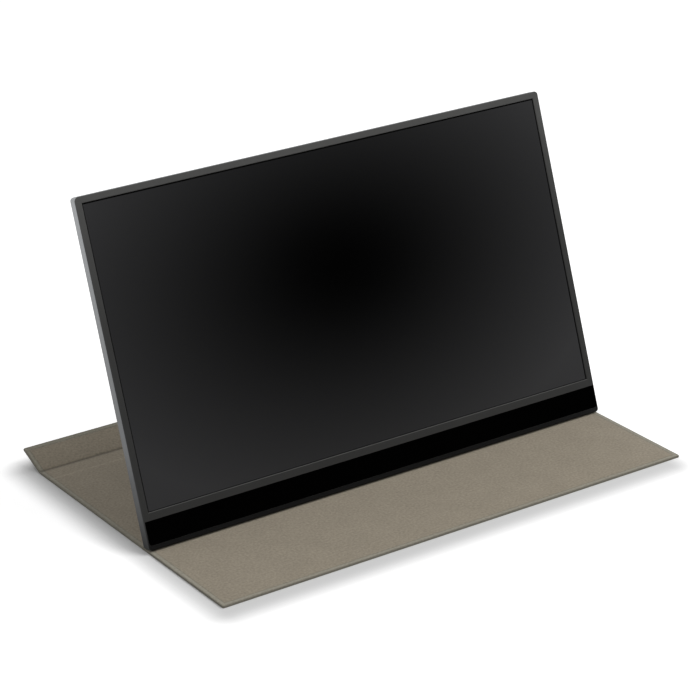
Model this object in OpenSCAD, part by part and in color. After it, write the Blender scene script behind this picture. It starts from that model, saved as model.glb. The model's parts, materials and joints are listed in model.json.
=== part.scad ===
// Portable monitor that stands on its folding cover.
// X runs along the width, +Y points away from the viewer and +Z is up.
// The origin lies on the table, under the middle of the screen's lower front edge.
// Parts of the screen are drawn upright, with the face at y = 0 and the lower edge at z = 0,
// and then leant back: "depth" is measured from the face and "height" from the lower edge.

/* [Screen body] */
// Thickness at the upper edge
body_t_top = 6.4; // [6.2:0.1:7.4]
// Thickness at the lower edge
body_t_low = 7.8; // [7.4:0.1:8.6]
// Radius of the corners, seen from the front
corner_r = 3; // [2:0.1:6]
// Bevel of the rear edges
rear_bevel = 0.6; // [0.5:0.1:2.4]
// Wall of the rear shell
shell_wall = 1.2; // [0.8:0.1:1.4]
// Lean of the screen, back from upright
lean = 18.7; // [14:0.1:24]
// Height of the lower front edge above the cover
lift = 1.1; // [0.9:0.1:1.6]

/* [Front] */
// Width of the visible screen
view_w = 346; // [320:0.1:380]
// Height of the visible screen
view_h = 195; // [180:0.1:215]
// Width of the frame's bars beside the screen
bar_side = 4.7; // [4:0.1:8]
// Height of the frame's bar above the screen
bar_top = 4.4; // [3.6:0.1:8]
// Height of the frame's bar between the screen and the glossy strip
bar_low = 5.2; // [4:0.1:10]
// Thickness of the front frame
frame_t = 1.4; // [1.2:0.1:1.6]
// Thickness of the frame's lip, over the edge of the glass
lip_t = 0.7; // [0.6:0.05:0.9]
// How far the lip covers the glass
lip_over = 1.6; // [1:0.1:1.7]
// Bevel of the window's front edges
window_bevel = 0.35; // [0.1:0.05:0.5]
// Radius of the frame's front edges
front_edge_r = 0.5; // [0.2:0.1:0.7]
// Radius of the frame's lowest front edge
foot_edge_r = 1.1; // [0.5:0.1:1.1]
// Height of the glossy strip below the screen
chin_h = 15.1; // [12:0.1:16]
// Height of the plain edge below the glossy strip
chin_low = 3.5; // [2:0.1:4]
// Thickness of the glossy strip
chin_t = 0.8; // [0.5:0.1:0.9]
// Frame left beside each end of the glossy strip
chin_end = 0.8; // [0.6:0.1:2]

/* [Display stack] */
// Gap between the polariser and the frame's lip
film_gap = 0.5; // [0.2:0.1:1]
// Thickness of the polariser on the glass
film_t = 0.3; // [0.2:0.05:0.4]
// Thickness of the glass cell
glass_t = 1; // [0.8:0.1:1.2]
// Thickness of the diffuser and prism sheets together
sheets_t = 0.5; // [0.3:0.1:0.6]
// Thickness of the light guide
guide_t = 1.4; // [1:0.1:1.5]
// Thickness of the reflector sheet
reflector_t = 0.2; // [0.1:0.05:0.3]
// Thickness of the tray's sheet metal
tray_t = 0.4; // [0.3:0.05:0.5]
// Height of the lamp strip below the light guide
lamps_h = 2.4; // [1.6:0.1:3]

/* [Rear housing] */
// Distance of the housing's sides from the screen's sides
housing_side = 20; // [12:0.5:26]
// Height of the boards in the housing above the uppermost button
board_top = 5.8; // [5:0.1:12]
// Depth of the rear housing's outer face, from the screen's face
housing_d = 14; // [13.8:0.1:15]
// Wall of the rear housing
housing_wall = 1.2; // [1:0.1:1.3]
// Radius of the housing's corners
housing_r = 6; // [3:0.5:8]
// Height of the ramp along the housing's upper edge
ramp_h = 10; // [6:0.5:12]
// Bevel along the housing's lower edge
housing_bevel = 1.2; // [0.5:0.1:1.4]
// Slots in each speaker grille
grille_slots = 9; // [5:1:11]
// Distance between neighbouring grille slots
grille_pitch = 3.6; // [3:0.1:4]
// Width of a grille slot
grille_slot = 1.4; // [1:0.1:1.8]
// Slots in each of the two vents
vent_slots = 14; // [8:1:18]
// Distance between neighbouring vent slots
vent_pitch = 4; // [3:0.1:4.4]
// Width of a vent slot
vent_slot = 1.6; // [1:0.1:2]
// Height of the vent slots
vent_h = 10; // [6:0.5:12]

/* [Hinges] */
// How far the hinge axis lies behind the housing's outer face
hinge_out = 0.5; // [0:0.1:1]
// Gap between the hinges' knuckles and the cover
knuckle_gap = 0.7; // [0.5:0.1:1]
// Gap between the hinges' knuckles and the housing
housing_gap = 1.7; // [1.5:0.1:2.5]
// Distance of each hinge from the middle
hinge_x = 75; // [68:1:80]
// Radius of the hinge pins
pin_r = 1.5; // [1.2:0.1:1.7]
// Running clearance of the pins in their bores
pin_clear = 0.05; // [0.03:0.01:0.1]
// Length of the stand's barrel on each hinge
barrel_l = 12; // [10:0.5:14]
// Length of each knuckle on the screen's brackets
knuckle_l = 6; // [4:0.5:7]
// Thickness of the hinges' leaves
leaf_t = 1.2; // [1:0.1:1.3]
// Thickness of the friction washers
washer_t = 0.5; // [0.4:0.1:0.8]
// Length of the stand's leaves on the plate
stand_leaf_l = 18; // [16:0.5:24]
// Height of the brackets' leaves inside the housing
bracket_h = 22; // [20:0.5:26]

/* [Stand] */
// Distance of the plate's sides from the hinges' middles
plate_side = 22; // [18:1:26]
// Thickness of the stand's plate
plate_t = 3.3; // [3.1:0.1:3.6]
// Where the plate ends, behind the screen's lower front edge
plate_back = 108; // [90:1:112]
// Radius of the plate's rear corners
plate_r = 12; // [6:1:20]
// Height of the rubber pads below the plate
pad_h = 0.6; // [0.5:0.1:1]
// Depth of the pads' recesses in the plate
pad_recess = 0.4; // [0.2:0.1:0.6]
// Gap between the pads and the cover
rest_gap = 0.1; // [0.05:0.05:0.3]

/* [Cover] */
// How much the cover is narrower than the screen, on each side
cover_side = 0.4; // [0:0.1:4]
// Distance of the cover's front edge from the screen's lower edge
cover_front = 85; // [60:0.5:110]
// Distance of the first crease behind the screen's lower edge
cover_back = 130.5; // [116:0.5:150]
// Width of the spine between the creases
spine_l = 15; // [10:0.1:18]
// Length of the flap behind the spine
flap_l = 23; // [20:0.5:30]
// Rise of the flap at rest
flap_rise = 22.6; // [5:0.1:40]
// Radius of the cover's corners
cover_r = 1.2; // [1:0.1:6]
// Thickness of the cover's outer skin
skin_t = 0.4; // [0.3:0.1:0.6]
// Thickness of the boards inside the cover
board_t = 0.7; // [0.6:0.1:1.2]
// Thickness of the cover's lining
lining_t = 0.4; // [0.3:0.1:0.8]
// Gap between the stiff parts at each crease
crease_gap = 0.6; // [0.4:0.1:1]

/* [Sockets and buttons] */
// Distance between neighbouring sockets
socket_pitch = 14; // [13:0.5:16]
// Distance between neighbouring buttons
button_pitch = 12; // [10.5:0.5:13]
// Height of a button's cap on the housing's side
button_h = 8; // [6:0.5:9]
// Width of a button's cap
button_d = 2.4; // [2:0.1:3]
// How far a button stands out of the housing
button_out = 0.7; // [0.5:0.1:1.2]
// Travel of a button
button_travel = 0.4; // [0.2:0.1:0.5]

/* [Hidden] */
$fn = 48;
cut = 1;             // how far a cut runs past the face that it opens
fit = 0.1;           // gap around a part that lies in a recess
mat_t = skin_t + board_t + lining_t;

// screen
body_w = view_w + 2 * bar_side;
body_h = bar_top + view_h + bar_low + chin_h + chin_low;
foot_start = frame_t + 0.1;                 // depth where the slanted underside starts
foot_slope = lean + 5;                      // the underside rises faster than the cover below it
taper = atan((body_t_low - body_t_top) / body_h);
function body_t(s) = body_t_low + (body_t_top - body_t_low) * s / body_h;
foot_h = (body_t_low - foot_start) * tan(foot_slope);
view_top = body_h - bar_top;
view_low = view_top - view_h;
chin_w = body_w - 2 * chin_end;
cover_w = body_w - 2 * cover_side;

// display stack, as depths behind the screen's face
film_d = lip_t - film_t;
sheets_d = lip_t + glass_t;
guide_d = sheets_d + sheets_t;
reflector_d = guide_d + guide_t;
tray_d = reflector_d + reflector_t;
tray_back = tray_d + tray_t;
cell_w = view_w + 2 * lip_over;
cell_h = view_h + 2 * lip_over;
cell_low = view_low - lip_over;
tray_w = cell_w + 2 * (fit + tray_t);
tray_h = cell_h + 2 * (fit + tray_t);
tray_low = cell_low - fit - tray_t;

// stand and hinge axis: the axis lies in the plane of the plate's upper face
pad_low = mat_t + rest_gap;
plate_low = pad_low + pad_h;
axis_z = plate_low + plate_t;
knuckle_r = axis_z - mat_t - knuckle_gap;
hinge_d = housing_d + hinge_out;
hinge_h = (axis_z - mat_t - lift + hinge_d * sin(lean)) / cos(lean);
axis_y = hinge_d * cos(lean) + hinge_h * sin(lean);
plate_front = axis_y + knuckle_r + 0.5;
plate_l = plate_back - plate_front;
plate_w = 2 * (hinge_x + plate_side);
knuckle_in = barrel_l / 2 + washer_t + 2 * pin_clear;
knuckle_out = knuckle_in + knuckle_l;
leaf_w = 2 * knuckle_out + 4;
leaf_screw_x = leaf_w / 3;
pin_head_r = pin_r + 0.9;
pin_head_t = 0.8;

// housing
housing_w = body_w - 2 * housing_side;
housing_low = hinge_h + knuckle_r + housing_gap;
housing_in = housing_d - housing_wall;      // depth of the housing's inner face
leaf_d = hinge_d - knuckle_r;               // front face of the brackets' leaves
bracket_low = housing_low + housing_wall;   // where the brackets' pads start
bracket_top = bracket_low + bracket_h;

// screws
screw_r = 0.85;
screw_head_r = 1.8;
screw_clear = 0.05;
screw_end = 0.2;            // free room past a screw's tip
plate_screw_l = plate_t - 0.6;
housing_screw_l = 6;
board_screw_l = 3.4;
bracket_screw_l = 3.8;

// boards inside the housing
pcb_t = 1;
pcb_d = (body_t_low + housing_in) / 2 - 0.7;
pcb_above_bracket = 6;
pcb_below_ramp = 9;
pcb_low = bracket_top + pcb_above_bracket;
main_pcb_w = 112;
main_pcb_in = 0.6;          // boards from the housing's side walls
main_pcb_x = -housing_w / 2 + housing_wall + main_pcb_in + main_pcb_w / 2;
side_pcb_w = 36;
side_pcb_in = 5.5;
side_pcb_x = housing_w / 2 - housing_wall - side_pcb_in - side_pcb_w / 2;
first_socket = 9;           // heights above the boards' lower edges
first_button = 21;
audio_up = 8;
socket_h = pcb_low + first_socket;
button_s = pcb_low + first_button;
audio_h = pcb_low + audio_up;
pcb_h = first_button + 2 * button_pitch + board_top;
housing_top = pcb_low + pcb_h + pcb_below_ramp + ramp_h;
stud_r = 2.6;
stud_in = 8;                // studs from the housing's sides, lower edge and ramp
stud_x = 28;
stud_up = 9;
stud_down = 5;
stud_xs = [housing_w / 2 - stud_in, stud_x];
stud_hs = [housing_low + stud_up, housing_top - ramp_h - stud_down];
pcb_stud_r = 2.2;
pcb_stud_in = 4;            // board studs from the boards' edges
main_stud_in = 16;
speaker_in = 34;
speaker_up = 6;
speaker_x = housing_w / 2 - speaker_in;
speaker_w = 40;
speaker_h = 16;
speaker_low = housing_low + speaker_up;
speaker_t = 2.8;
speaker_rim = 2;
speaker_dish = 0.6;
vent_x = 78;
vent_down = 20;

// colours
frame_grey = [0.27, 0.27, 0.27];
gloss_black = [0.04, 0.04, 0.04];
shell_grey = [0.52, 0.53, 0.53];
housing_grey = [0.2, 0.2, 0.2];
steel = [0.7, 0.71, 0.72];
copper_green = [0.1, 0.32, 0.2];
rubber = [0.12, 0.12, 0.12];
skin_olive = [0.28, 0.27, 0.24];
lining_taupe = [0.55, 0.51, 0.45];
board_brown = [0.6, 0.5, 0.38];

// ---------- shared shapes ----------

// middles of n equal shares of a length
function spread(n, length) = [for (i = [0:n - 1]) ((i + 0.5) / n - 0.5) * length];

// rectangle with round corners, centred
module round_rect(w, h, r) {
    square([w - 2 * r, h], center = true);
    square([w, h - 2 * r], center = true);
    for (x = [-1, 1], y = [-1, 1])
        translate([x * (w / 2 - r), y * (h / 2 - r)]) circle(r);
}

// what a fillet of radius r takes off a square corner at the origin
module fillet_waste(r) {
    difference() {
        translate([-cut, -cut]) square(r + cut);
        translate([r, r]) circle(r);
    }
}

// an outline in width and height, filled between two depths
module between_depths(d0, d1) {
    translate([0, d1, 0]) rotate([90, 0, 0]) linear_extrude(d1 - d0) children();
}

// an outline in depth and height, drawn out along the width and centred
module along_width(w) {
    rotate([90, 0, 90]) linear_extrude(w, center = true) children();
}

// leans the screen's parts back and lifts them onto the cover
module on_screen() {
    translate([0, 0, mat_t + lift]) rotate([-lean, 0, 0]) children();
}

// turns upright parts so that y = 0 is the shell's slanted rear face
module on_rear_face() {
    translate([0, body_t_low, 0]) rotate([taper, 0, 0]) children();
}

// everything in front of the shell's rear face, moved forward by inset
module before_rear_face(inset = 0) {
    on_rear_face() translate([-body_w, -4 * body_t_low - inset, -body_h / 2])
        cube([2 * body_w, 4 * body_t_low, 2 * body_h]);
}

// countersunk screw with its head's face at z = 0, pointing down
module screw(length) {
    head_t = screw_head_r - screw_r;
    difference() {
        union() {
            translate([0, 0, -length]) cylinder(h = length, r = screw_r);
            translate([0, 0, -head_t]) cylinder(h = head_t, r1 = screw_r, r2 = screw_head_r);
        }
        translate([0, 0, -head_t]) cylinder(h = head_t + cut, r = screw_r, $fn = 6);
    }
}

// room for such a screw
module screw_room(length) {
    r = screw_r + screw_clear;
    head_t = screw_head_r - screw_r;
    translate([0, 0, -length]) cylinder(h = length + cut, r = r);
    translate([0, 0, -head_t]) cylinder(h = head_t, r1 = r, r2 = screw_head_r + screw_clear);
    cylinder(h = cut, r = screw_head_r + screw_clear);
}

// turns something that stands along z so that it points backwards along the depth
module facing_back() {
    rotate([-90, 0, 0]) children();
}

// ---------- cover ----------

// outline of the cover between two distances from the screen's lower edge
module cover_outline(y0, y1, inset = 0, round_low = false, round_high = false) {
    w = cover_w - 2 * inset;
    difference() {
        translate([-w / 2, y0]) square([w, y1 - y0]);
        for (side = [-1, 1]) {
            if (round_low)
                translate([side * w / 2, y0]) mirror([side > 0 ? 1 : 0, 0])
                    fillet_waste(cover_r - inset);
            if (round_high)
                translate([side * w / 2, y1]) mirror([side > 0 ? 1 : 0, 0]) mirror([0, 1])
                    fillet_waste(cover_r - inset);
        }
    }
}

// tray-shaped skin below and around the board, from z = 0 up
module cover_skin(y0, y1, round_low = false, round_high = false) {
    color(skin_olive) difference() {
        linear_extrude(skin_t + board_t) cover_outline(y0, y1, 0, round_low, round_high);
        translate([0, 0, skin_t]) linear_extrude(board_t + cut)
            cover_outline(y0 + skin_t, y1 - skin_t, skin_t, round_low, round_high);
    }
}

module cover_board(y0, y1, round_low = false, round_high = false) {
    inset = skin_t + fit;
    translate([0, 0, skin_t]) linear_extrude(board_t)
        cover_outline(y0 + inset, y1 - inset, inset, round_low, round_high);
}

module cover_lining(y0, y1, round_low = false, round_high = false) {
    color(lining_taupe) translate([0, 0, skin_t + board_t]) linear_extrude(lining_t)
        cover_outline(y0, y1, 0, round_low, round_high);
}

panel_y0 = -cover_front;
panel_y1 = cover_back - crease_gap / 2;
magnet_r = 5;
magnet_in = 14;
panel_magnets_n = 4;
flap_magnets_n = 3;
panel_magnet_xs = spread(panel_magnets_n, cover_w);
panel_magnet_y = panel_y0 + magnet_in;

module panel_skin() { cover_skin(panel_y0, panel_y1, round_low = true); }

module panel_board() {
    color(board_brown) difference() {
        cover_board(panel_y0, panel_y1, round_low = true);
        for (x = panel_magnet_xs)
            translate([x, panel_magnet_y, 0]) cylinder(h = mat_t, r = magnet_r + fit);
    }
}

module panel_lining() { cover_lining(panel_y0, panel_y1, round_low = true); }

module panel_magnets() {
    color(steel) for (x = panel_magnet_xs)
        translate([x, panel_magnet_y, skin_t]) cylinder(h = board_t, r = magnet_r);
}

// the spine is drawn from its own crease at y = 0, and folds about the lining's face
spine_y0 = crease_gap / 2;
spine_y1 = spine_l - crease_gap / 2;

module on_spine() { translate([0, cover_back, 0]) children(); }

module spine_skin() { on_spine() cover_skin(spine_y0, spine_y1); }
module spine_board() { color(board_brown) on_spine() cover_board(spine_y0, spine_y1); }
module spine_lining() { on_spine() cover_lining(spine_y0, spine_y1); }

// the flap is drawn flat from its crease at y = 0, and rises about the lining's face
flap_y0 = crease_gap / 2;
flap_magnet_l = 40;
flap_magnet_w = 10;
flap_magnet_y = flap_l / 2;
flap_magnet_xs = spread(flap_magnets_n, cover_w);

module on_flap() {
    translate([0, cover_back + spine_l, mat_t]) rotate([flap_rise, 0, 0])
        translate([0, 0, -mat_t]) children();
}

module flap_magnet_blocks(grow = 0) {
    for (x = flap_magnet_xs)
        translate([x - flap_magnet_l / 2 - grow, flap_magnet_y - flap_magnet_w / 2 - grow,
                   skin_t - cut * grow])
            cube([flap_magnet_l + 2 * grow, flap_magnet_w + 2 * grow, board_t + 2 * cut * grow]);
}

module flap_skin() { on_flap() cover_skin(flap_y0, flap_l, round_high = true); }

module flap_board() {
    color(board_brown) on_flap() difference() {
        cover_board(flap_y0, flap_l, round_high = true);
        flap_magnet_blocks(grow = fit);
    }
}

module flap_lining() { on_flap() cover_lining(flap_y0, flap_l, round_high = true); }
module flap_magnets() { color(steel) on_flap() flap_magnet_blocks(); }

// ---------- stand ----------

plate_front_r = 5;
plate_edge_r = 0.8;
plate_mid_y = (plate_front + plate_back) / 2;
finger_r = 16;
finger_deep = 4;
pad_l = 44;
pad_w = 9;
pad_in = 12;
pad_x = plate_w / 2 - pad_in - pad_l / 2;
pad_ys = [plate_front + pad_in, plate_back - pad_in];
leaf_screws = [
    [-leaf_screw_x, stand_leaf_l / 2], [leaf_screw_x, stand_leaf_l / 2], [0, stand_leaf_l - 4]
];

// the plate seen from above, with a notch for a finger at the back
module plate_outline() {
    difference() {
        translate([-plate_w / 2, plate_front]) square([plate_w, plate_l]);
        for (side = [-1, 1]) {
            translate([side * plate_w / 2, plate_front]) mirror([side > 0 ? 1 : 0, 0])
                fillet_waste(plate_front_r);
            translate([side * plate_w / 2, plate_back]) mirror([side > 0 ? 1 : 0, 0]) mirror([0, 1])
                fillet_waste(plate_r);
        }
        translate([0, plate_back + finger_r - finger_deep]) circle(finger_r);
    }
}

// a plate section with round lower edges
module plate_section(length) {
    difference() {
        translate([-length / 2, 0]) square([length, plate_t]);
        translate([-length / 2, 0]) fillet_waste(plate_edge_r);
        translate([length / 2, 0]) mirror([1, 0]) fillet_waste(plate_edge_r);
    }
}

module pad_places() {
    for (x = [-pad_x, pad_x], y = pad_ys) translate([x, y, 0]) children();
}

module stand_plate() {
    leaf_room_w = leaf_w + 2 * fit;
    color(shell_grey) difference() {
        translate([0, 0, plate_low]) intersection() {
            linear_extrude(plate_t) plate_outline();
            translate([0, plate_mid_y, 0]) rotate([90, 0, 0])
                linear_extrude(plate_l + 2 * cut, center = true) plate_section(plate_w);
            translate([0, plate_mid_y, 0]) rotate([90, 0, 90])
                linear_extrude(plate_w + 2 * cut, center = true) plate_section(plate_l);
        }
        // seats of the hinge leaves, open to the front
        for (side = [-1, 1]) translate([side * hinge_x, 0, 0]) {
            translate([-leaf_room_w / 2, plate_front - cut, axis_z - leaf_t])
                cube([leaf_room_w, stand_leaf_l + cut + fit, leaf_t + cut]);
            for (place = leaf_screws) translate([place[0], plate_front + place[1], axis_z])
                screw_room(plate_screw_l + screw_end);
        }
        pad_places() translate([0, 0, plate_low - cut]) linear_extrude(pad_recess + cut)
            round_rect(pad_l + 2 * fit, pad_w + 2 * fit, pad_w / 2 + fit / 2);
    }
}

module stand_pads() {
    color(rubber) pad_places() translate([0, 0, pad_low]) linear_extrude(pad_h + pad_recess)
        round_rect(pad_l, pad_w, pad_w / 2 - fit);
}

// steel leaf let into the plate, with the barrel that turns on the pin
module stand_leaf(side) {
    color(steel) translate([side * hinge_x, 0, 0]) difference() {
        union() {
            translate([0, axis_y, axis_z]) rotate([0, 90, 0])
                cylinder(h = barrel_l, r = knuckle_r, center = true);
            translate([-barrel_l / 2, axis_y, axis_z - leaf_t])
                cube([barrel_l, plate_front - axis_y + 2 * cut, leaf_t]);
            translate([-leaf_w / 2, plate_front + fit, axis_z - leaf_t])
                cube([leaf_w, stand_leaf_l - fit, leaf_t]);
        }
        translate([0, axis_y, axis_z]) rotate([0, 90, 0])
            cylinder(h = barrel_l + 2 * cut, r = pin_r + pin_clear, center = true);
        for (place = leaf_screws) translate([place[0], plate_front + place[1], axis_z])
            screw_room(2 * leaf_t);
    }
}

module stand_screws() {
    color(steel) for (side = [-1, 1], place = leaf_screws)
        translate([side * hinge_x + place[0], plate_front + place[1], axis_z])
            screw(plate_screw_l);
}

// ---------- screen: front and display ----------

module front_frame() {
    cell_room_w = cell_w + 2 * fit;
    cell_room_h = cell_h + 2 * fit;
    color(frame_grey) on_screen() difference() {
        intersection() {
            between_depths(0, frame_t) translate([0, body_h / 2]) round_rect(body_w, body_h, corner_r);
            along_width(body_w + 2 * cut) difference() {
                square([frame_t, body_h]);
                fillet_waste(foot_edge_r);
                translate([0, body_h]) mirror([0, 1]) fillet_waste(front_edge_r);
            }
            linear_extrude(body_h) difference() {
                translate([-body_w / 2, 0]) square([body_w, frame_t]);
                for (side = [-1, 1]) translate([side * body_w / 2, 0])
                    mirror([side > 0 ? 1 : 0, 0]) fillet_waste(front_edge_r);
            }
        }
        // window with bevelled front edges, and behind it the room for the glass
        translate([-view_w / 2, -cut, view_low]) cube([view_w, frame_t + 2 * cut, view_h]);
        window_cone();
        translate([-cell_room_w / 2, lip_t, cell_low - fit])
            cube([cell_room_w, frame_t, cell_room_h]);
        // recess of the glossy strip
        between_depths(-cut, chin_t) translate([0, chin_low + chin_h / 2]) chin_outline(fit);
    }
}

// what the bevel takes off the window's front edges
module window_cone() {
    b = window_bevel;
    wide = view_w / 2 + b + cut;
    intersection() {
        along_width(2 * wide)
            polygon([[-cut, view_low - b - cut], [b, view_low], [b, view_top], [-cut, view_top + b + cut]]);
        translate([0, 0, view_low - b - cut]) linear_extrude(view_h + 2 * b + 2 * cut)
            polygon([[-wide, -cut], [wide, -cut], [view_w / 2, b], [-view_w / 2, b]]);
    }
}

// outline of the glossy strip, whose lower corners follow the frame's corners
module chin_outline(grow = 0) {
    w = chin_w + 2 * grow;
    h = chin_h + 2 * grow;
    r = corner_r - chin_end + grow;
    difference() {
        square([w, h], center = true);
        for (side = [-1, 1]) translate([side * w / 2, -h / 2])
            mirror([side > 0 ? 1 : 0, 0]) fillet_waste(r);
    }
}

module chin_strip() {
    color(gloss_black) on_screen() between_depths(0, chin_t)
        translate([0, chin_low + chin_h / 2]) chin_outline();
}

module front_polariser() {
    color([0.1, 0.1, 0.11]) on_screen()
        translate([-view_w / 2 + film_gap, film_d, view_low + film_gap])
            cube([view_w - 2 * film_gap, film_t, view_h - 2 * film_gap]);
}

module lcd_glass() {
    color([0.25, 0.28, 0.3]) on_screen()
        translate([-cell_w / 2, lip_t, cell_low]) cube([cell_w, glass_t, cell_h]);
}

module optical_sheets() {
    color([0.9, 0.9, 0.92]) on_screen()
        translate([-cell_w / 2, sheets_d, cell_low]) cube([cell_w, sheets_t, cell_h]);
}

module light_guide() {
    guide_low = cell_low + lamps_h + fit;
    color([0.8, 0.88, 0.9]) on_screen()
        translate([-cell_w / 2, guide_d, guide_low]) cube([cell_w, guide_t, cell_low + cell_h - guide_low]);
}

lamps = 36;
lamp_w = 3;
lamp_bar_h = 0.6;
lamp_bar_in = 4;

module lamp_strip() {
    bar_w = cell_w - 2 * lamp_bar_in;
    color([0.95, 0.92, 0.7]) on_screen() translate([0, guide_d, cell_low]) {
        translate([-bar_w / 2, 0, 0]) cube([bar_w, guide_t, lamp_bar_h]);
        for (x = spread(lamps, bar_w)) translate([x - lamp_w / 2, 0, 0]) cube([lamp_w, guide_t, lamps_h]);
    }
}

module reflector_sheet() {
    color("white") on_screen()
        translate([-cell_w / 2, reflector_d, cell_low]) cube([cell_w, reflector_t, cell_h]);
}

module panel_tray() {
    color(steel) on_screen() difference() {
        translate([-tray_w / 2, sheets_d, tray_low]) cube([tray_w, tray_back - sheets_d, tray_h]);
        translate([-cell_w / 2 - fit, sheets_d - cut, cell_low - fit])
            cube([cell_w + 2 * fit, tray_d - sheets_d + cut, cell_h + 2 * fit]);
    }
}

timing_side = 23;           // the timing board's ends, from the ends of the visible screen
timing_up = 0.6;
timing_down = 1.2;
timing_low = foot_h + shell_wall + timing_up;
timing_h = tray_low - timing_down - timing_low;
timing_w = view_w - 2 * timing_side;
timing_t = 0.8;
timing_in = 0.8;
timing_d = frame_t + timing_in;
timing_stud_r = 2;
timing_stud_in = 10;
timing_stud_xs = [timing_w / 2 - timing_stud_in, timing_w / 6];
driver_w = 12;
driver_h = 6;
driver_t = 0.6;
drivers_n = 5;

module timing_board() {
    color(copper_green) on_screen() union() {
        translate([-timing_w / 2, timing_d, timing_low]) cube([timing_w, timing_t, timing_h]);
        for (x = spread(drivers_n, timing_w))
            translate([x - driver_w / 2, timing_d - driver_t, timing_low + (timing_h - driver_h) / 2])
                cube([driver_w, driver_t + timing_t / 2, driver_h]);
    }
}

// flat cable from the main board through the shell and down to the timing board
ribbon_x = main_pcb_x - 15;
ribbon_w = 30;
ribbon_t = 0.3;
ribbon_pass = pcb_low - 3.5;
ribbon_in_d = tray_back + 0.4;
ribbon_over = 6;            // how far the ribbon lies on the main board
ribbon_top = pcb_low + ribbon_over;

module display_ribbon() {
    board_back = timing_d + timing_t;
    board_s = timing_low + timing_h / 2;
    foot_s = tray_low - 0.8;
    color([0.75, 0.6, 0.3]) on_screen() translate([ribbon_x, 0, 0]) along_width(ribbon_w)
        polygon([
            [pcb_d, ribbon_top], [pcb_d - ribbon_t, ribbon_top],
            [pcb_d - ribbon_t, ribbon_pass + ribbon_t], [ribbon_in_d, ribbon_pass + ribbon_t],
            [ribbon_in_d, foot_s], [board_back, foot_s - 1], [board_back, board_s],
            [board_back + ribbon_t, board_s], [board_back + ribbon_t, foot_s - 1 - ribbon_t],
            [ribbon_in_d + ribbon_t, foot_s - ribbon_t], [ribbon_in_d + ribbon_t, ribbon_pass],
            [pcb_d, ribbon_pass]
        ]);
}

// ---------- screen: rear shell and housing ----------

// the shell's solid form: its section drawn out along the width, cut to its outline
module shell_form() {
    b = rear_bevel;
    difference() {
        intersection() {
            along_width(body_w + 2 * cut) polygon([
                [frame_t, 0], [foot_start, 0], [body_t(foot_h), foot_h],
                [body_t(body_h - b), body_h - b], [body_t(body_h) - b, body_h], [frame_t, body_h]
            ]);
            between_depths(frame_t, 2 * body_t_low) translate([0, body_h / 2])
                round_rect(body_w, body_h, corner_r);
        }
        // bevels along the left and right rear edges
        for (side = [-1, 1]) on_rear_face() translate([side * body_w / 2, 0, -body_h / 2])
            mirror([side > 0 ? 0 : 1, 0, 0]) linear_extrude(2 * body_h)
                polygon([[-b - cut, cut], [cut, -b - cut], [cut, cut]]);
    }
}

// places of the housing's screws, and of the boards' screws
module stud_places() {
    for (side = [-1, 1], x = stud_xs, s = stud_hs) translate([side * x, 0, s]) children();
}

module pcb_stud_places() {
    for (x = [-1, 1], s = [pcb_stud_in, pcb_h - pcb_stud_in])
        translate([main_pcb_x + x * (main_pcb_w / 2 - main_stud_in), 0, pcb_low + s]) children();
    for (s = [pcb_stud_in, pcb_h - pcb_stud_in])
        translate([side_pcb_x - side_pcb_w / 2 + pcb_stud_in, 0, pcb_low + s]) children();
}

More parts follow.
